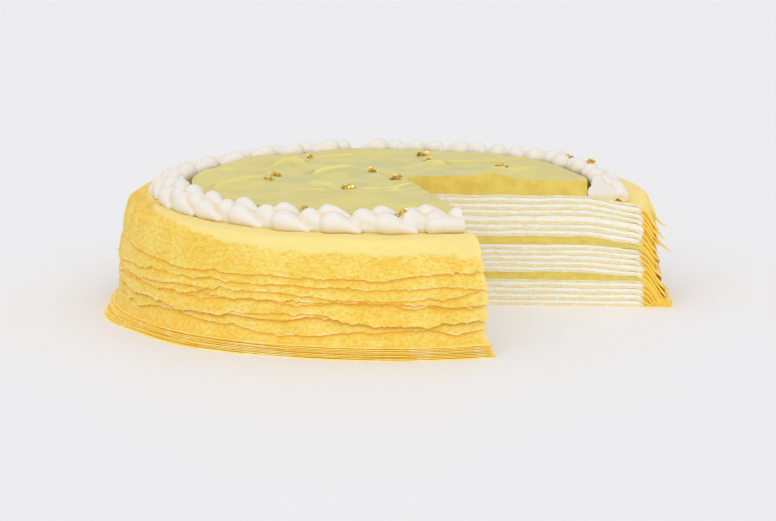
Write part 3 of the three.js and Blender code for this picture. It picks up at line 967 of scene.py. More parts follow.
def knife_strokes():
    """Small strokes as arcs: middle of the circle, radius, direction, half angle and height."""
    draw = np.random.default_rng(7)
    strokes = []
    for _ in range(STROKES):
        radius = draw.uniform(16, 46)
        far = STROKES_OUT_TO * math.sqrt(draw.uniform(0, 1))
        turn = draw.uniform(0, 2 * math.pi)
        start = draw.uniform(0, 2 * math.pi)
        x = far * math.cos(turn) - radius * math.cos(start)
        y = far * math.sin(turn) - radius * math.sin(start)
        strokes.append(((x, y), radius, start, draw.uniform(0.45, 1.0), draw.uniform(0.5, 1)))
    return strokes


strokes = knife_strokes()
print(len(CRESTS), "ridges placed by hand and", len(strokes), "drawn")


def relief(gap, window, size):
    """Height of a ridge, and its painted highlight along the crest less its painted shade at the foot, from
    the distance across it.
    """
    blade = np.exp(-np.maximum(gap, 0) / BLADE_SIDE)
    trail = np.exp(np.minimum(gap, 0) / TRAIL_SIDE)
    shine = np.exp(-np.abs(gap) / np.where(gap > 0, SHINE_BLADE, SHINE_TRAIL))
    bright = shine - BLADE_FOOT_SHADE * bell((gap - FOOT_AT) / FOOT_WIDE)
    return size * blade * trail * window, size * window * bright


def across(x, y, start, middle, end):
    """Distance across a crest, positive behind it, and a window that fades at its ends."""
    share = np.linspace(0, 1, CREST_POINTS)[:, None]
    start, middle, end = np.array(start), np.array(middle), np.array(end)
    bend = 2 * middle - (start + end) / 2
    line = start * (1 - share) ** 2 + 2 * bend * share * (1 - share) + end * share**2
    way = np.gradient(line, axis=0)
    away = np.stack([x, y], -1)[..., None, :] - line
    distance = np.hypot(away[..., 0], away[..., 1])
    nearest = np.argmin(distance, axis=-1)
    pick = np.take_along_axis(away, nearest[..., None, None], axis=-2)[..., 0, :]
    side = np.sign(way[nearest, 0] * pick[..., 1] - way[nearest, 1] * pick[..., 0])
    part = nearest / (CREST_POINTS - 1)
    return side * distance.min(-1), ease(np.minimum(part, 1 - part) / CREST_FADES)


def custard_relief(x, y):
    """Height of the ridges, and the painted highlight and painted shade that they leave on each point."""
    wander = WANDER * noise(x, y, 0, WANDER_SIZE, 71)
    found = []
    for start, middle, end, size in CRESTS:
        gap, window = across(x + wander, y + wander, start, middle, end)
        found.append(relief(gap, window, size))
    for (cx, cy), radius, start, half, size in strokes:
        gap = np.hypot(x - cx, y - cy) - radius + wander
        turn = (np.arctan2(y - cy, x - cx) - start + math.pi) % (2 * math.pi) - math.pi
        window = ease((half - np.abs(turn)) / (STROKE_FADES * half))
        found.append(relief(gap, window, STROKE_HEIGHT * size))
    heights, crests = zip(*found)
    return np.max(heights, axis=0), np.max(crests, axis=0) + 0.5 * np.min(crests, axis=0)


# %% [markdown]
# ## The custard on top
# The disc is highest in its middle and rolls a little. Along the first cut its height is given point by
# point, since that line is the one that is seen best. The mesh is a fan of rays from the apex, so its cut
# faces are straight and its rings are closest near the rim.

# %% Custard top
CUSTARD_R = 84.2
CUSTARD_EDGE = 6.9
CUSTARD_MIDDLE = 7.9
CUSTARD_RINGS = 112
CUSTARD_CROWD = 0.8
CUSTARD_RAYS = 410
CUSTARD_SWELL = 0.1
ROLLS = [(12, 17.5, 1.1, 0.4), (20.7, -9.5, 2.4, 0.28)]  # cycles per metre along x and y, phase, height
MOUNDS = [(44, -2, 9, 2.2), (-52, 46, 13, 0.9), (-8, -46, 15, 0.8)]  # x, y, width, height
SPREAD_DOWN = 0.35  # the knife took this off before it left its ridges
UNEVEN = [(0.35, 19, 72), (0.08, 4, 73)]  # height, width and seed
RIM_DROP, RIM_FROM = 0.6, 0.975  # the rim is rounded off by this much, from this share of the radius on

# Height along the first cut, above the top crepe.
CUT_AT = [0, 6.5, 11.7, 17.3, 25.4, 34.5, 39, 43.6, 48.2, 52.6, 57.3, 68.7, 84]
CUT_HEIGHTS = [6.4, 6.8, 7.7, 8.0, 8.2, 8.3, 9.2, 9.9, 8.8, 7.8, 7.0, 6.6, 7.1]
CUT_REACH = 8  # how far from the cut this still counts
CUT_STARTS, CUT_GROWS = -8, 12  # where along x it begins, and over what length it grows


def custard_top(x, y):
    """Height of the custard's upper face, and its painted highlights and shade."""
    far = np.hypot(x, y) / CUSTARD_R
    body = CUSTARD_MIDDLE + (CUSTARD_EDGE - CUSTARD_MIDDLE) * np.clip(far, 0, 1) ** 3
    for along_x, along_y, phase, height in ROLLS:
        body = body + height * np.sin(2 * math.pi * (along_x * x + along_y * y) * MM + phase)
    for middle_x, middle_y, width, height in MOUNDS:
        body = body + height * np.exp(-((x - middle_x) ** 2 + (y - middle_y) ** 2) / width**2)
    ridges, crest = custard_relief(x, y)
    fine = sum(height * noise(x, y, 0, width, seed) for height, width, seed in UNEVEN)
    body = body - SPREAD_DOWN + ridges + fine
    beside = bell(y / CUT_REACH) * ease((x - CUT_STARTS) / CUT_GROWS)
    body = body + beside * (np.interp(x, CUT_AT, CUT_HEIGHTS) - body)
    return STACK_TOP + body - RIM_DROP * ease((far - RIM_FROM) / (1 - RIM_FROM)), crest


def custard_floor(x, y):
    """Height of the custard's lower face, which has no crests."""
    return waved(x, y, STACK_TOP + FILM), 0.0


def custard_mesh():
    """The disc with its slice missing."""
    shape = Shape()
    turn = np.linspace(0, theta[-1], CUSTARD_RAYS + 1)
    edge_x, edge_y = on_ray(turn, CUSTARD_R)
    share = (np.arange(1, CUSTARD_RINGS + 1) / CUSTARD_RINGS)[:, None] ** CUSTARD_CROWD
    x, y = APEX + (edge_x - APEX) * share, edge_y * share
    apex_x, apex_y = np.array([APEX]), np.array([0.0])
    lines = []
    for face, flip in ((custard_top, False), (custard_floor, True)):
        z, crest = face(x, y)
        skin = shape.add(x, y, z, crest=crest)
        z, crest = face(apex_x, apex_y)
        apex = shape.add(apex_x, apex_y, z, crest=crest)
        shape.grid(skin, flip)
        shape.fan(apex, skin[0], flip)
        lines.append([np.concatenate([apex, skin[:, 0]]), np.concatenate([apex, skin[:, -1]]), skin[-1]])
    close_layer(shape, *lines, CUSTARD_SWELL, 99)
    return shape.mesh("custard_disc")


custard_disc = add_piece("custard_disc", custard_mesh(), "custard_glaze", "custard_top")
print("custard:", len(custard_disc.data.polygons), "faces")

# %% [markdown]
# ## The piped border
# Each push of the piping bag leaves a shell of three ridges that run from the inside and the top to the
# outside and the bottom, so that the ring looks like a rope. Every ridge is a drop: a fat round head and a
# tail. The drops are lofted from circles, and a voxel remesh melts them into one skin, as cream does.

# %% Border ridges
BORDER_R = 91.5
RIDGE_RINGS = 18
RIDGE_SIDES = 24
RIDGE_ARCH = 0.7  # how far a ridge rises between its ends
RIDGE_TAPER = 0.9
LEAST_SIZE = 0.05
HAND_WOBBLE = 0.45
PUSH_SIZE = (0.95, 1.05)

# Head and tail of each ridge as [along the ring, outwards, up], and the radius of each.
RIDGES = [
    ([0.0, 2.0, 3.0], [11.8, 4.6, 0.6], 4.8, 1.3),
    ([-9.8, -0.3, 5.0], [-1.4, 3.0, 1.8], 4.2, 1.8),
    ([-2.6, -3.3, 5.8], [9.4, -1.6, 3.0], 4.1, 1.6),
    ([-10.0, 0.6, 1.6], [10.0, 0.6, 1.6], 3.8, 3.8),
]

# Where each push of the piping bag began, in degrees.
SHELLS = [9.4, 17.6, 26.1, 36.9, 48.1, 61.6, 74.2, 87, 98.2, 113.3, 124.2, 133.7]
SHELLS += [145.5, 158.5, 171.6, 184.6, 197.7, 210.7, 221.2, 233.8, 246.8, 259.4, 273.1, 285.3, 297.8]

# How far the hand strayed outwards: degrees, half width in degrees, millimetres.
STRAYS = [(215, 45, 1.6), (184, 13, 2.0), (287, 14, -1.6), (4, 9, 1.0)]

# Where the cream was pulled up, as [degrees, outwards, height, radius at the foot and at the tip].
PEAKS = [
    (0.3, -2.7, 11.2, 3.1, 0.8),
    (0.2, -1.0, 7.4, 3.6, 1.6),
    (0.2, 2.7, 6.6, 2.6, 1.4),
    (39, 1.5, 11.4, 3.9, 0.8),
    (177.1, 5.0, 10.8, 4.9, 0.7),
    (179.4, 8.2, 7.6, 4.4, 0.8),
    (184.5, 6.0, 8.0, 5.0, 1.6),
    (189, -3.2, 9.4, 4.8, 0.9),
    (196.5, -4.2, 8.8, 4.6, 1.0),
]

# More drops beside the cuts: [degrees, head, tail, radius of each].
LOBES = [
    (0.3, [0, -4.3, 1.6], [0, 2.4, 1.8], 2.9, 2.7),
    (3.4, [0, 4.8, 3.6], [-4, 8.2, 2.2], 3.8, 2.4),
    (282.5, [-4.5, -6.2, 4.6], [9, -1.0, 4.0], 4.4, 2.4),
    (285, [0, 3.6, 2.6], [10, 4.4, 2.4], 3.8, 3.0),
]


def ridge_points(centre, middle, head, tail, fat, thin):
    """Points of one drop of cream, ring by ring from its head to its tail."""
    head, tail = np.array(head), np.array(tail)
    way = (tail - head) / math.dist(head, tail)
    length = math.dist(head, tail) + fat + thin
    share = 0.5 - 0.5 * np.cos(np.linspace(0, math.pi, RIDGE_RINGS + 1))
    front, back = fat / length, thin / length
    spine = head - way * fat + np.outer(share, way) * length
    spine[:, 2] += RIDGE_ARCH * np.sin(share * math.pi)
    size = fat + (thin - fat) * ease((share - front) / (1 - front)) ** RIDGE_TAPER
    size *= np.sqrt(1 - np.clip(1 - share / front, 0, 1) ** 2)
    size *= np.sqrt(1 - np.clip(1 - (1 - share) / back, 0, 1) ** 2)
    side = np.cross(way, (0, 0, 1))
    side /= np.linalg.norm(side)
    lift = np.cross(side, way)
    round_ = np.linspace(0, 2 * math.pi, RIDGE_SIDES, endpoint=False)
    ring = np.cos(round_)[:, None] * side + np.sin(round_)[:, None] * lift
    local = spine[:, None, :] + np.maximum(size, LEAST_SIZE)[:, None, None] * ring[None]
    turn = centre + local[..., 0] / middle
    far = middle + local[..., 1]
    return far * np.cos(turn), far * np.sin(turn), STACK_TOP + local[..., 2]


def add_ridge(shape, *ridge):
    """Adds one drop of cream, closed at both ends."""
    rows = shape.add(*ridge_points(*ridge))
    rows = np.concatenate([rows, rows[:, :1]], 1)
    shape.grid(rows)
    for row, flip in ((rows[0], False), (rows[-1], True)):
        middle = shape.add(*shape.points[row[:-1]].mean(0).reshape(3, 1))
        shape.fan(middle, row, flip)


def border_shape():
    """All the drops of all the shells, still separate."""
    draw = np.random.default_rng(42)
    shape = Shape()
    for degrees in SHELLS:
        angle = math.radians(degrees)
        size = draw.uniform(*PUSH_SIZE)
        for head, tail, fat, thin in RIDGES:
            head = head + draw.uniform(-HAND_WOBBLE, HAND_WOBBLE, 3)
            tail = tail + draw.uniform(-HAND_WOBBLE, HAND_WOBBLE, 3)
            middle = BORDER_R + around(STRAYS, angle)
            add_ridge(shape, angle, middle, head, tail, fat * size, thin * size)
    for degrees, outwards, height, fat, thin in PEAKS:
        foot, tip = [0.8, outwards, height - 2 * fat], [0.0, outwards, height - thin]
        add_ridge(shape, math.radians(degrees), BORDER_R, foot, tip, fat, thin)
    for degrees, *drop in LOBES:
        add_ridge(shape, math.radians(degrees), BORDER_R, *drop)
    return shape


print(len(SHELLS), "pushes of", len(RIDGES), "ridges, and", len(PEAKS) + len(LOBES), "single drops")


# %% [markdown]
# ## Melting the ridges together and cutting them
# Two modifiers do this: Remesh joins everything that touches, and Boolean takes away the slice and what
# lies below the top crepe. They are applied at once, so that the piece ends as a plain mesh.

# %% Border
VOXEL = 0.55
SMOOTHING = 2
BORDER_FLOOR = STACK_TOP - 0.35
BEYOND = 140.0  # farther out than anything
VALLEY_SPREAD = 6  # how often the depth of a valley is shared with its neighbours


def with_modifier(mesh, kind, **settings):
    """A new mesh: the old one with one modifier applied."""
    holder = bpy.data.objects.new("holder", mesh)
    bpy.context.scene.collection.objects.link(holder)
    modifier = holder.modifiers.new(kind, kind)
    for name, value in settings.items():
        setattr(modifier, name, value)
    shown = holder.evaluated_get(bpy.context.evaluated_depsgraph_get())
    made = bpy.data.meshes.new_from_object(shown)
    bpy.data.objects.remove(holder)
    return made


def prism(outline, low, high):
    """A mesh object that stands on an outline given against the clock, for cutting."""
    count = len(outline)
    points = [(x, y, z) for z in (low, high) for x, y in outline]
    sides = [(i, (i + 1) % count, count + (i + 1) % count, count + i) for i in range(count)]
    faces = [tuple(range(count))[::-1], tuple(range(count, 2 * count)), *sides]
    mesh = bpy.data.meshes.new("cutter")
    mesh.from_pydata([tuple(value * MM for value in point) for point in points], [], faces)
    cutter = bpy.data.objects.new("cutter", mesh)
    bpy.context.scene.collection.objects.link(cutter)
    return cutter


def without(mesh, outline, low, high):
    """The mesh with a prism cut away."""
    cutter = prism(outline, low, high)
    made = with_modifier(mesh, "BOOLEAN", operation="DIFFERENCE", solver="MANIFOLD", object=cutter)
    bpy.data.objects.remove(cutter)
    return made


def hollows(mesh):
    """Paints how deep each point lies in a valley, for the painted shade there."""
    count = len(mesh.vertices)
    points = np.zeros(count * 3)
    normals = np.zeros(count * 3)
    mesh.vertices.foreach_get("co", points)
    mesh.vertices.foreach_get("normal", normals)
    points, normals = points.reshape(-1, 3), normals.reshape(-1, 3)
    ends = np.zeros(len(mesh.edges) * 2, int)
    mesh.edges.foreach_get("vertices", ends)
    a, b = ends.reshape(-1, 2).T
    degree = np.bincount(a, minlength=count) + np.bincount(b, minlength=count)

    def spread(values):
        """The mean of each point's neighbours."""
        total = np.bincount(a, values[b], count) + np.bincount(b, values[a], count)
        return total / np.maximum(degree, 1)

    mean = np.stack([spread(points[:, axis]) for axis in range(3)], -1)
    valley = np.sum((mean - points) * normals, 1) / MM
    for _ in range(VALLEY_SPREAD):
        valley = 0.5 * valley + 0.5 * spread(valley)
    layer = mesh.attributes.new("crest", "FLOAT", "POINT")
    layer.data.foreach_set("value", valley.astype(np.float32))


def border_mesh():
    """The whole ring, laid on the waving top crepe."""
    mesh = border_shape().mesh("ridges")
    mesh = with_modifier(mesh, "REMESH", mode="VOXEL", voxel_size=VOXEL * MM, use_smooth_shade=True)
    mesh = with_modifier(mesh, "SMOOTH", factor=0.5, iterations=SMOOTHING)
    gap = [(APEX, 0.0), (BEYOND * math.cos(SWEEP), BEYOND * math.sin(SWEEP)), (BEYOND, 0.0)]
    mesh = without(mesh, gap, 0, 2 * STACK_TOP)
    square = [(-BEYOND, -BEYOND), (BEYOND, -BEYOND), (BEYOND, BEYOND), (-BEYOND, BEYOND)]
    mesh = without(mesh, square, 0, BORDER_FLOOR)
    points = np.zeros(len(mesh.vertices) * 3)
    mesh.vertices.foreach_get("co", points)
    points = points.reshape(-1, 3) / MM
    points[:, 2] += waved(points[:, 0], points[:, 1], STACK_TOP) - STACK_TOP
    mesh.vertices.foreach_set("co", (points * MM).reshape(-1))
    hollows(mesh)
    mesh.set_sharp_from_angle(angle=SHARP)
    mesh.name = "piped_ring"
    return mesh


piped_ring = add_piece("piped_ring", border_mesh(), "piped_cream", "piped_border")
print("border:", len(piped_ring.data.polygons), "faces")

# %% [markdown]
# ## Gold leaf
# Leaf is so thin that it crumples into tiny tufts. Each tuft is a handful of small bent scraps with a
# little thickness, dropped where it lies with its lowest corner in the cream.

# %% Gold leaf
from mathutils.bvhtree import BVHTree

# Where each tuft lies: [radius, angle in degrees, half length in millimetres].
CUSTARD_LEAF = [
    (48.4, 185.4, 2.2),
    (52.4, 196, 1.6),
    (60.8, 131.8, 1.2),
    (41, 244.6, 3.0),
    (11.5, 143.9, 1.8),
    (9.7, 266.2, 2.6),
    (57.1, 83.9, 2.6),
    (42.2, 75.8, 1.8),
    (52, 28.4, 2.6),
]
BORDER_LEAF = [(92.4, 249.7, 1.0), (91.5, 274.3, 2.2), (93, 37, 1.7), (93.5, 26.5, 1.8)]
SCRAP = 1.0  # half length
SCRAP_STEPS = 5
SCRAP_THICKNESS = 0.12
SCRAP_SUNK = 0.15  # how deep its lowest corner sits
CRUMPLE = 0.55
ABOVE = 0.1  # metres, higher than the cake


def add_scrap(shape, draw, x, y, z, size):
    """One crumpled scrap of leaf, as a closed shape with two skins."""
    span = np.linspace(-1, 1, SCRAP_STEPS)
    u, v = np.meshgrid(span, span)
    crumple = CRUMPLE * noise(u * 1.3 + draw.uniform(0, 90), v * 1.3, draw.uniform(0, 90), 1, 91)
    flat = np.stack([u * size, v * size * draw.uniform(0.5, 0.9), crumple * size * 1.5], -1)
    tip, spin = draw.uniform(-0.9, 0.9), draw.uniform(0, 2 * math.pi)
    c, s = math.cos(tip), math.sin(tip)
    tilted = flat @ np.array([[1, 0, 0], [0, c, s], [0, -s, c]])
    c, s = math.cos(spin), math.sin(spin)
    turned = tilted @ np.array([[c, s, 0], [-s, c, 0], [0, 0, 1]])
    lift = z - turned[..., 2].min() - SCRAP_SUNK
    rings = []
    for side, flip in ((0, False), (SCRAP_THICKNESS, True)):
        rows = shape.add(turned[..., 0] + x, turned[..., 1] + y, turned[..., 2] + lift + side)
        shape.grid(rows, flip)
        rings.append(np.concatenate([rows[0, :-1], rows[:-1, -1], rows[-1, :0:-1], rows[::-1, 0]]))
    shape.grid(np.array(rings), flip=True)


def leaf_mesh(name, tufts, ground):
    """All the tufts that lie on one piece of the cake."""
    tree = BVHTree.FromPolygons(
        [vertex.co.copy() for vertex in ground.data.vertices],
        [tuple(face.vertices) for face in ground.data.polygons],
    )
    draw = np.random.default_rng(5)
    shape = Shape()
    for radius, degrees, half in tufts:
        x, y = on_ray(math.radians(degrees), radius)
        way = draw.uniform(-0.5, 0.5)
        for _ in range(round(6 + 6 * half)):
            along, aside = draw.normal(0, 0.42 * half), draw.normal(0, 0.2 * half)
            px = x + along * math.cos(way) - aside * math.sin(way)
            py = y + along * math.sin(way) + aside * math.cos(way)
            hit = tree.ray_cast(Vector((px * MM, py * MM, ABOVE)), Vector((0, 0, -1)))[0]
            if hit:
                pile = 0.35 * half * math.exp(-((along / half) ** 2) * 3) * draw.uniform(0, 1)
                add_scrap(shape, draw, px, py, hit.z / MM + pile, SCRAP * draw.uniform(0.6, 1.2))
    return shape.mesh(name)


custard_leaf = leaf_mesh("leaf_on_custard", CUSTARD_LEAF, custard_disc)
border_leaf = leaf_mesh("leaf_on_border", BORDER_LEAF, piped_ring)
add_piece("leaf_on_custard", custard_leaf, "custard_glaze", "custard_top")
add_piece("leaf_on_border", border_leaf, "piped_cream", "piped_border")
print("leaf:", len(custard_leaf.polygons) + len(border_leaf.polygons), "faces")

# %% [markdown]
# ## Writing materials as sums
# A material is a small graph of nodes. Placing and linking them by hand hides what they work out, so one
# class wraps a socket and lets it be added and multiplied, and another adds any node by its type.

# %% Material helpers
class Value:
    """The output of a node, which can be used in sums."""

    def __init__(self, recipe, socket):
        self.recipe = recipe
        self.socket = socket

    def _math(self, operation, first, second):
        return self.recipe.node("ShaderNodeMath", {"operation": operation}, {0: first, 1: second})

    def __add__(self, other):
        return self._math("ADD", self, other)

    __radd__ = __add__

    def __sub__(self, other):
        return self._math("SUBTRACT", self, other)

    def __rsub__(self, other):
        return self._math("SUBTRACT", other, self)

    def __mul__(self, other):
        return self._math("MULTIPLY", self, other)

    __rmul__ = __mul__

    def most(self, other):
        """The greater of two values."""
        return self._math("MAXIMUM", self, other)


class Recipe:
    """A new material and the nodes that are added to it."""

    def __init__(self, name):
        self.material = bpy.data.materials.new(name)
        self.material.use_nodes = True
        self.tree = self.material.node_tree
        self.shader = next(node for node in self.tree.nodes if node.type == "BSDF_PRINCIPLED")
        self.place = self.node("ShaderNodeTexCoord", output="Object")

    def node(self, kind, settings=None, sockets=None, output=0):
        """Adds a node: its settings first, then numbers or links for its sockets."""
        made = self.tree.nodes.new(kind)
        for name, value in (settings or {}).items():
            setattr(made, name, value)
        for name, value in (sockets or {}).items():
            self.put(made.inputs[name], value)
        return Value(self, made.outputs[output])

    def put(self, socket, value):
        """Links a value to a socket, or sets the socket to a plain number."""
        if isinstance(value, Value):
            self.tree.links.new(value.socket, socket)
        else:
            socket.default_value = value

    def painted(self, name):
        """A value painted on the mesh."""
        return self.node("ShaderNodeAttribute", {"attribute_name": name}, output="Fac")

    def speckle(self, size, detail=2.0, stretch=(1, 1, 1), roughness=0.5):
        """Noise about 0.5, with spots of this size in millimetres."""
        sockets = {0: self.place, 1: stretch}
        place = self.node("ShaderNodeVectorMath", {"operation": "MULTIPLY"}, sockets, output="Vector")
        sockets = {"Vector": place, "Scale": 1 / (size * MM), "Detail": detail, "Roughness": roughness}
        return self.node("ShaderNodeTexNoise", None, sockets)

    def between(self, value, low, high):
        """0 where the value is at low, 1 where it is at high, and smooth between."""
        sockets = {"Value": value, "From Min": low, "From Max": high}
        return self.node("ShaderNodeMapRange", {"interpolation_type": "SMOOTHSTEP"}, sockets)

    def blend(self, share, first, second):
        """A colour from first to second."""
        sockets = {"Factor": share, 6: first, 7: second}
        return self.node("ShaderNodeMix", {"data_type": "RGBA"}, sockets, output=2)

    def bump(self, height, depth, strength=1.0):
        """A normal that makes the height stand out by this depth in millimetres."""
        sockets = {"Height": height, "Distance": depth * MM, "Strength": strength}
        return self.node("ShaderNodeBump", None, sockets, output="Normal")

    def finish(self, **sockets):
        """Fills the shader's own sockets. Spaces in their names are written as _."""
        for name, value in sockets.items():
            self.put(self.shader.inputs[name.replace("_", " ")], value)
        return self.material


def tone(red, green, blue):
    """A colour as it looks on a screen, from 0 to 255, as the linear values that a shader takes."""
    screen = [value / 255 for value in (red, green, blue)]
    dark = [value / 12.92 for value in screen]
    light = [((value + 0.055) / 1.055) ** 2.4 for value in screen]
    return (*(low if value <= 0.04045 else high for value, low, high in zip(screen, dark, light)), 1.0)


# %% [markdown]
# ## A crepe's cooked side
# The cooked side is golden with fine amber mottles. It stays pale on the shoulder, where the batter was
# thin and moist. An image could carry this, but layers of noise over a few tones never repeat and
# never blur. The painted length along the margin says where the pale shoulder ends.

# %% Cooked side
GOLDEN = tone(249, 204, 78)
# Amber is also the tone of the painted shade under the hems and in the furrows.
AMBER = tone(232, 170, 44)
STRAW = tone(250, 218, 108)
SHOULDER_YELLOW = tone(249, 225, 144)
HEM_PALE = tone(252, 236, 176)
SHOULDER_ENDS, SHOULDER_BLURS = 17.0, 1.2  # lengths along the margin


def spread_about(value, amount):
    """A noise about 0.5 turned into one about 0, this strong."""
    return (value - 0.5) * amount


def cooked_side(recipe, mottle, grain):
    """Golden with amber mottles, pale on the shoulder, and with painted shade in its furrows."""
    cloudy = recipe.speckle(14, 3)
    felt = mottle * 0.55 + grain * 0.45
    skin = recipe.blend(recipe.between(cloudy, 0.35, 0.65), GOLDEN, STRAW)
    skin = recipe.blend(recipe.between(felt, 0.46, 0.66) * 0.75, skin, AMBER)
    skin = recipe.blend(recipe.between(felt, 0.5, 0.34) * 0.45, skin, HEM_PALE)
    edge = recipe.painted("sunk") + spread_about(recipe.speckle(7, 3), 5) + spread_about(mottle, 1.6)
    browned = recipe.between(edge, SHOULDER_ENDS - SHOULDER_BLURS, SHOULDER_ENDS + SHOULDER_BLURS)
    skin = recipe.blend((1 - browned) * 0.9, skin, SHOULDER_YELLOW)
    # Painted shade: the crease furrows are darkened towards amber.
    furrow_shade = recipe.painted("crest") + spread_about(grain, 0.5)
    return recipe.blend(recipe.between(furrow_shade, 0.25, 0.8) * 0.45, skin, AMBER)


# %% [markdown]
# ## Hems
# Torn edges are dry and pale. The strip just under a hem is amber, because light only reaches it through
# the yellow sheets above. Both follow the distances that were painted on the margins, so they stay with the
# hems when those are changed.

# %% Hems of the crepes
def shaded_under_hem(recipe):
    """1 on the strip just under the hem of the crepe above, which gets amber painted shade."""
    below = recipe.painted("below")
    return (1 - recipe.between(below, 0.1, 2.4)) * recipe.between(below, -2, -0.5)


def lying_lips(recipe):
    """1 on the edges of the margins that lie on the pile at the foot."""
    at_edge = 1 - recipe.between(recipe.painted("hem"), 0.1, 0.9)
    return at_edge * recipe.between(recipe.painted("below"), 0.6 * FAR, 0.9 * FAR)


def hems_and_shade(recipe, skin, mottle, grain):
    """The cooked side with amber painted shade under the hems, pale frays, and paler again beside the cuts.
    """
    # Painted shade: amber on the strip under each hem.
    skin = recipe.blend(shaded_under_hem(recipe) * (0.3 + 0.9 * mottle), skin, AMBER)
    skin = recipe.blend(lying_lips(recipe) * 0.7, skin, STRAW)
    edge = 1 - recipe.between(recipe.painted("hem") + spread_about(grain, 1.6), 0.1, 1.1)
    frayed = edge * recipe.between(recipe.speckle(9, 2), 0.5, 0.62)
    skin = recipe.blend(frayed * 0.6, skin, HEM_PALE)
    beside_cut = 1 - recipe.between(recipe.painted("brink") + spread_about(grain, 3), 0.5, 4.5)
    return recipe.blend(beside_cut * 0.6, skin, SHOULDER_YELLOW)


# %% [markdown]
# ## A crepe at the cut
# A cut crepe is pale crumb with browned flecks, and the knife has smeared cream over its edges. Where the
# cut goes through the hanging margins they show as golden strips. The faces of the cut were marked when
# the layers were closed, so the same material can tell them from the cooked side.

# %% Crumb at the cut
CRUMB = tone(247, 223, 166)
CRUMB_PALE = tone(250, 242, 224)
CRUMB_BROWN = tone(205, 160, 95)
CREAM = tone(247, 243, 234)
MIXED = 0.8  # how much neighbours smear into each other at the edges of a layer
GOLD_FROM, GOLD_TO = 8.0, 11.0  # lengths along the margin between which a cut layer turns golden


def golden_ends(recipe):
    """0 in the stack and 1 where the cut margins are golden, with an uneven start."""
    uneven = spread_about(recipe.speckle(3.4, 2, (1, 1, 2)), 9)
    return recipe.between(recipe.painted("sunk") + uneven, GOLD_FROM, GOLD_TO)


def smeared_edges(recipe, size, end):
    """1 at a layer's upper and lower edge, where the knife smeared its neighbours over it."""
    uneven = spread_about(recipe.speckle(size, 3, (1, 1, 1.6)), 2.4)
    return 1 - recipe.between(recipe.painted("crest") + uneven, 0.0, end)


def cut_crumb(recipe):
    """Pale crumb with brown flecks, smeared with cream, and golden where the margins hang."""
    streaks = recipe.speckle(3.5, 3, (1, 1, 3.5), 0.6)
    crumb = recipe.blend(recipe.between(streaks, 0.5, 0.7), CRUMB, CRUMB_PALE)
    crumb = recipe.blend(recipe.between(recipe.speckle(0.8, 3), 0.62, 0.72) * 0.7, crumb, CRUMB_BROWN)
    crumb = recipe.blend(smeared_edges(recipe, 1.6, 0.6) * MIXED, crumb, CREAM)
    return recipe.blend(golden_ends(recipe), crumb, GOLDEN)


# %% [markdown]
# ## The crepe's material
# Light goes through many thin sheets before it leaves the wall. That is slow to trace, so a little
# scattering under the surface stands for it, and so does a faint amber emission, a painted glow under the
# hems, on the lips at the foot and on the golden margins at the cut.

# %% Crepe material
DARK = (0.0, 0.0, 0.0, 1.0)
HEM_GLOW = (0.8, 0.5, 0.06, 1)
GLOW_POWER = 0.15


def crepe_material():
    """Baked batter: its cooked side, its crumb at the cut, and the painted glow under its hems, on its lips
    at the foot and on its cut margins.
    """
    recipe = Recipe("baked_batter")
    cut = recipe.painted("cut")
    mottle = recipe.speckle(1.4, 4, (0.6, 0.6, 1.3), 0.7)
    grain = recipe.speckle(0.55, 3, roughness=0.6)
    skin = hems_and_shade(recipe, cooked_side(recipe, mottle, grain), mottle, grain)
    # Painted glow: amber emission under the hems, on the lips at the foot and on the golden margins at the
    # cut.
    glow = (shaded_under_hem(recipe) * 0.8).most(lying_lips(recipe)).most(cut * golden_ends(recipe) * 0.6)
    return recipe.finish(
        Base_Color=recipe.blend(cut, skin, cut_crumb(recipe)), Roughness=0.62 + 0.2 * mottle,
        Normal=recipe.bump(mottle * 0.5 + grain * 0.5, 0.4, 0.6),
        Subsurface_Weight=0.15, Subsurface_Scale=0.004, Specular_IOR_Level=0.3,
        Emission_Color=recipe.blend(glow, DARK, HEM_GLOW), Emission_Strength=GLOW_POWER,
    )


baked_batter = crepe_material()
print("nodes in the crepe's material:", len(baked_batter.node_tree.nodes))


# %% [markdown]
# ## Cream and custard in the stack
# Whipped cream is white with tiny air holes, and the knife has smeared crumb over its edges. Custard is
# smooth, satin and yellow. Both reuse the crepe's noises for their smears and their golden ends, because
# the layers were cut with one knife. The cream's end among the hanging margins is painted amber, as
# painted shade for the narrow gaps between them.

# %% Materials of the fillings
CREAM_WARM = tone(248, 230, 186)
CUSTARD_YELLOW = tone(230, 205, 96)
CUSTARD_DEEP = tone(218, 189, 78)


def cream_material():
    """Whipped cream between the crepes, as it shows at the cut."""
    recipe = Recipe("whipped_cream")
    smears = recipe.speckle(4, 3, (1, 1, 3), 0.6)
    pores = recipe.speckle(0.7, 3)
    colour = recipe.blend(recipe.between(smears, 0.52, 0.7), CREAM, CREAM_WARM)
    colour = recipe.blend(smeared_edges(recipe, 1.9, 0.7) * MIXED, colour, CRUMB)
    colour = recipe.blend(recipe.between(pores, 0.64, 0.74) * 0.5, colour, CRUMB_BROWN)
    # Painted shade: amber where the cream lies in the gaps between the hanging margins.
    colour = recipe.blend(golden_ends(recipe), colour, AMBER)
    relief = recipe.bump(pores, 0.4, 0.6)
    return recipe.finish(
        Base_Color=colour, Roughness=0.6 + 0.2 * pores, Normal=relief, Subsurface_Weight=0.15,
        Subsurface_Scale=0.003,
    )


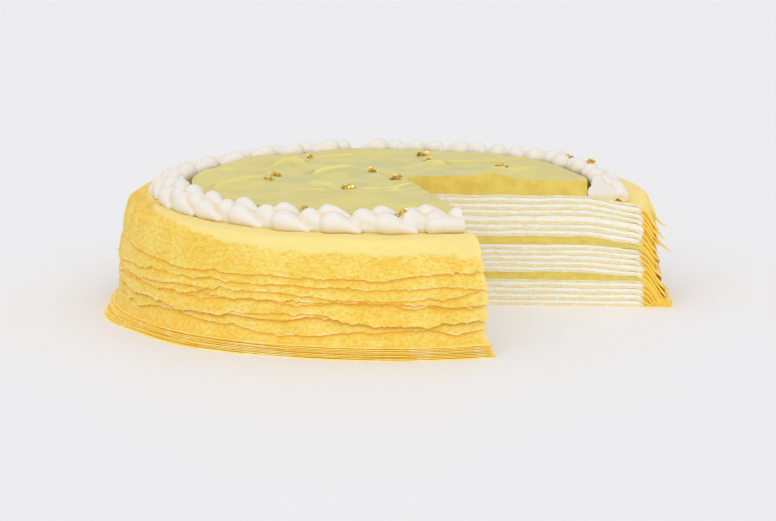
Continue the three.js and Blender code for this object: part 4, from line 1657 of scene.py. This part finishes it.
def custard_band_material():
    """The two custard layers in the stack."""
    recipe = Recipe("set_custard")
    drift = recipe.speckle(5, 3, (1, 1, 2))
    specks = recipe.speckle(0.9, 2)
    colour = recipe.blend(recipe.between(drift, 0.35, 0.75), CUSTARD_YELLOW, CUSTARD_DEEP)
    colour = recipe.blend(recipe.between(specks, 0.72, 0.78) * 0.7, colour, CRUMB_BROWN)
    colour = recipe.blend(golden_ends(recipe), colour, GOLDEN)
    return recipe.finish(
        Base_Color=colour, Roughness=0.38 + 0.2 * drift, Normal=recipe.bump(specks + drift, 0.25, 0.4),
        Subsurface_Weight=0.15, Subsurface_Scale=0.004,
    )


whipped_cream, set_custard = cream_material(), custard_band_material()
print("materials:", whipped_cream.name, "and", set_custard.name)

# %% [markdown]
# ## The custard's skin
# The custard on top has dried to a greener skin, yellower towards the rim. Its crests carry a painted
# highlight in yellow and its hollows painted shade. At the cut it is as yellow as the bands below.

# %% Material of the custard on top
GLAZE = tone(205, 197, 124)
GLAZE_RIM = tone(224, 206, 110)
# The yellower tone of some patches, and the painted highlight along the crests.
GLAZE_CREST = tone(238, 222, 124)
GLAZE_HOLLOW_SHADE = tone(188, 178, 98)
RIM_WARMS = 60  # from this radius on


def custard_top_material():
    """The custard on top: its dried skin, and its inside at the cut."""
    recipe = Recipe("spread_custard")
    crest, cut = recipe.painted("crest"), recipe.painted("cut")
    drift = recipe.speckle(15, 3)
    film = recipe.speckle(1.4, 3)
    skin = recipe.blend(recipe.between(drift, 0.4, 0.62) * 0.42, GLAZE, GLAZE_CREST)
    # Painted shade in the hollows and painted highlight along the crests.
    skin = recipe.blend(recipe.between(crest, -0.05, -0.5) * 0.85, skin, GLAZE_HOLLOW_SHADE)
    skin = recipe.blend(recipe.between(crest, 0.1, 0.9) * 0.95, skin, GLAZE_CREST)
    far = recipe.node("ShaderNodeVectorMath", {"operation": "LENGTH"}, {0: recipe.place}, output="Value")
    skin = recipe.blend(recipe.between(far, RIM_WARMS * MM, CUSTARD_R * MM) * 0.45, skin, GLAZE_RIM)
    inside = recipe.blend(recipe.between(recipe.speckle(6, 3), 0.35, 0.7), CUSTARD_YELLOW, CUSTARD_DEEP)
    inside = recipe.blend(recipe.between(recipe.speckle(0.9, 2), 0.72, 0.78) * 0.8, inside, CRUMB_BROWN)
    return recipe.finish(
        Base_Color=recipe.blend(cut, skin, inside), Roughness=0.36 + 0.16 * film,
        Normal=recipe.bump(film, 0.12, 0.5), Subsurface_Weight=0.12, Subsurface_Scale=0.004,
    )


spread_custard = custard_top_material()
print("material:", spread_custard.name)

# %% [markdown]
# ## Piped cream and gold leaf
# Piped cream is smoother than the cream in the stack. In its valleys and at its foot the light comes off the
# yellow crepe, so it is warm there. Gold leaf is metal, bright on its flats, with painted shade in its
# folds.

# %% Materials of the piping and the leaf
PIPED = tone(233, 228, 220)
PIPED_WARM_SHADE = tone(240, 214, 150)
FOOT_WARMS = 1.6  # warm painted shade at the foot, up to this height above the top crepe
GOLD = (1.0, 0.8, 0.26, 1)
GOLD_FOLD_SHADE = (0.42, 0.2, 0.04, 1)


def piped_material():
    """Piped cream, with warm painted shade in its valleys and at its foot."""
    recipe = Recipe("piped_cream")
    valley = recipe.painted("crest")
    cloudy = recipe.speckle(6, 3)
    fine = recipe.speckle(0.9, 3)
    # Painted shade: warm in the valleys and at the foot, where light comes off the crepe.
    valley_shade = recipe.between(valley + spread_about(cloudy, 0.02), 0.004, 0.035)
    colour = recipe.blend(valley_shade * 0.8, PIPED, PIPED_WARM_SHADE)
    height = recipe.node("ShaderNodeSeparateXYZ", None, {0: recipe.place}, output="Z")
    foot = 1 - recipe.between(height, (STACK_TOP - 0.5) * MM, (STACK_TOP + FOOT_WARMS) * MM)
    colour = recipe.blend(foot * 0.8, colour, PIPED_WARM_SHADE)
    return recipe.finish(
        Base_Color=colour, Roughness=0.42 + 0.16 * cloudy, Normal=recipe.bump(fine + cloudy, 0.15, 0.35),
        Subsurface_Weight=0.2, Subsurface_Scale=0.004,
    )


def gold_material():
    """Crinkled gold leaf, with painted shade in its folds."""
    recipe = Recipe("gold_leaf")
    crinkle = recipe.speckle(0.35, 3)
    # Painted shade: darker in the folds.
    colour = recipe.blend(recipe.between(crinkle, 0.58, 0.64), GOLD, GOLD_FOLD_SHADE)
    return recipe.finish(
        Base_Color=colour, Metallic=0.9 + 0.1 * crinkle, Roughness=0.2 + 0.25 * crinkle,
        Normal=recipe.bump(crinkle, 0.2, 0.7),
    )


piped_cream, gold_leaf = piped_material(), gold_material()
print("materials:", piped_cream.name, "and", gold_leaf.name)

# %% [markdown]
# ## Giving each piece its material
# The pieces were named by what they are, so the start of a name is enough to pick its material.

# %% Materials on the pieces
finishes = {
    "baked_crepe": baked_batter,
    "spread_cream": whipped_cream,
    "spread_custard_band": set_custard,
    "custard_disc": spread_custard,
    "piped_ring": piped_cream,
    "leaf_on": gold_leaf,
}
for piece in pieces:
    finish = next(finish for start, finish in finishes.items() if piece.name.startswith(start))
    piece.data.materials.clear()
    piece.data.materials.append(finish)
print(len(finishes), "materials on", len(pieces), "pieces")

# %% [markdown]
# ## The table and the light
# A pale floor that runs out of the picture, a white sky that fills the shadows, and one soft sun from the
# front, where it reaches into the gap. An area lamp would leave the far floor dark. A wide sun lights
# everything evenly and still keeps the shadows soft, as cream and crepe need.

# %% Floor and light
FLOOR_SIZE = 12.0
FLOOR_TONE = tone(240, 240, 243)
SKY = 0.76
SUN_FROM = (-0.03, -1.0, 0.9)
SUN_POWER = 1.07
SUN_WIDTH = math.radians(70)


def add_floor():
    """A plain square for the cake to stand on."""
    edge = FLOOR_SIZE / 2
    mesh = bpy.data.meshes.new("table")
    corners = [(-edge, -edge, 0), (edge, -edge, 0), (edge, edge, 0), (-edge, edge, 0)]
    mesh.from_pydata(corners, [], [(0, 1, 2, 3)])
    table = bpy.data.objects.new("table", mesh)
    bpy.context.scene.collection.objects.link(table)
    recipe = Recipe("pale_table")
    mesh.materials.append(recipe.finish(Base_Color=FLOOR_TONE, Roughness=0.6))


def add_sun():
    """One wide sun that shines towards the middle of the floor."""
    sun = bpy.data.objects.new("sun", bpy.data.lights.new("sun", "SUN"))
    sun.data.energy = SUN_POWER
    sun.data.angle = SUN_WIDTH
    sun.rotation_euler = (-Vector(SUN_FROM)).to_track_quat("-Z", "Y").to_euler()
    bpy.context.scene.collection.objects.link(sun)


add_floor()
add_sun()
world = bpy.data.worlds.new("sky")
world.use_nodes = True
sky = world.node_tree.nodes["Background"].inputs
sky["Color"].default_value = (1, 1, 1, 1)
sky["Strength"].default_value = SKY
bpy.context.scene.world = world
bpy.context.scene.view_settings.view_transform = "Standard"
print("floor, sky and a sun of", SUN_POWER, "W per square metre")
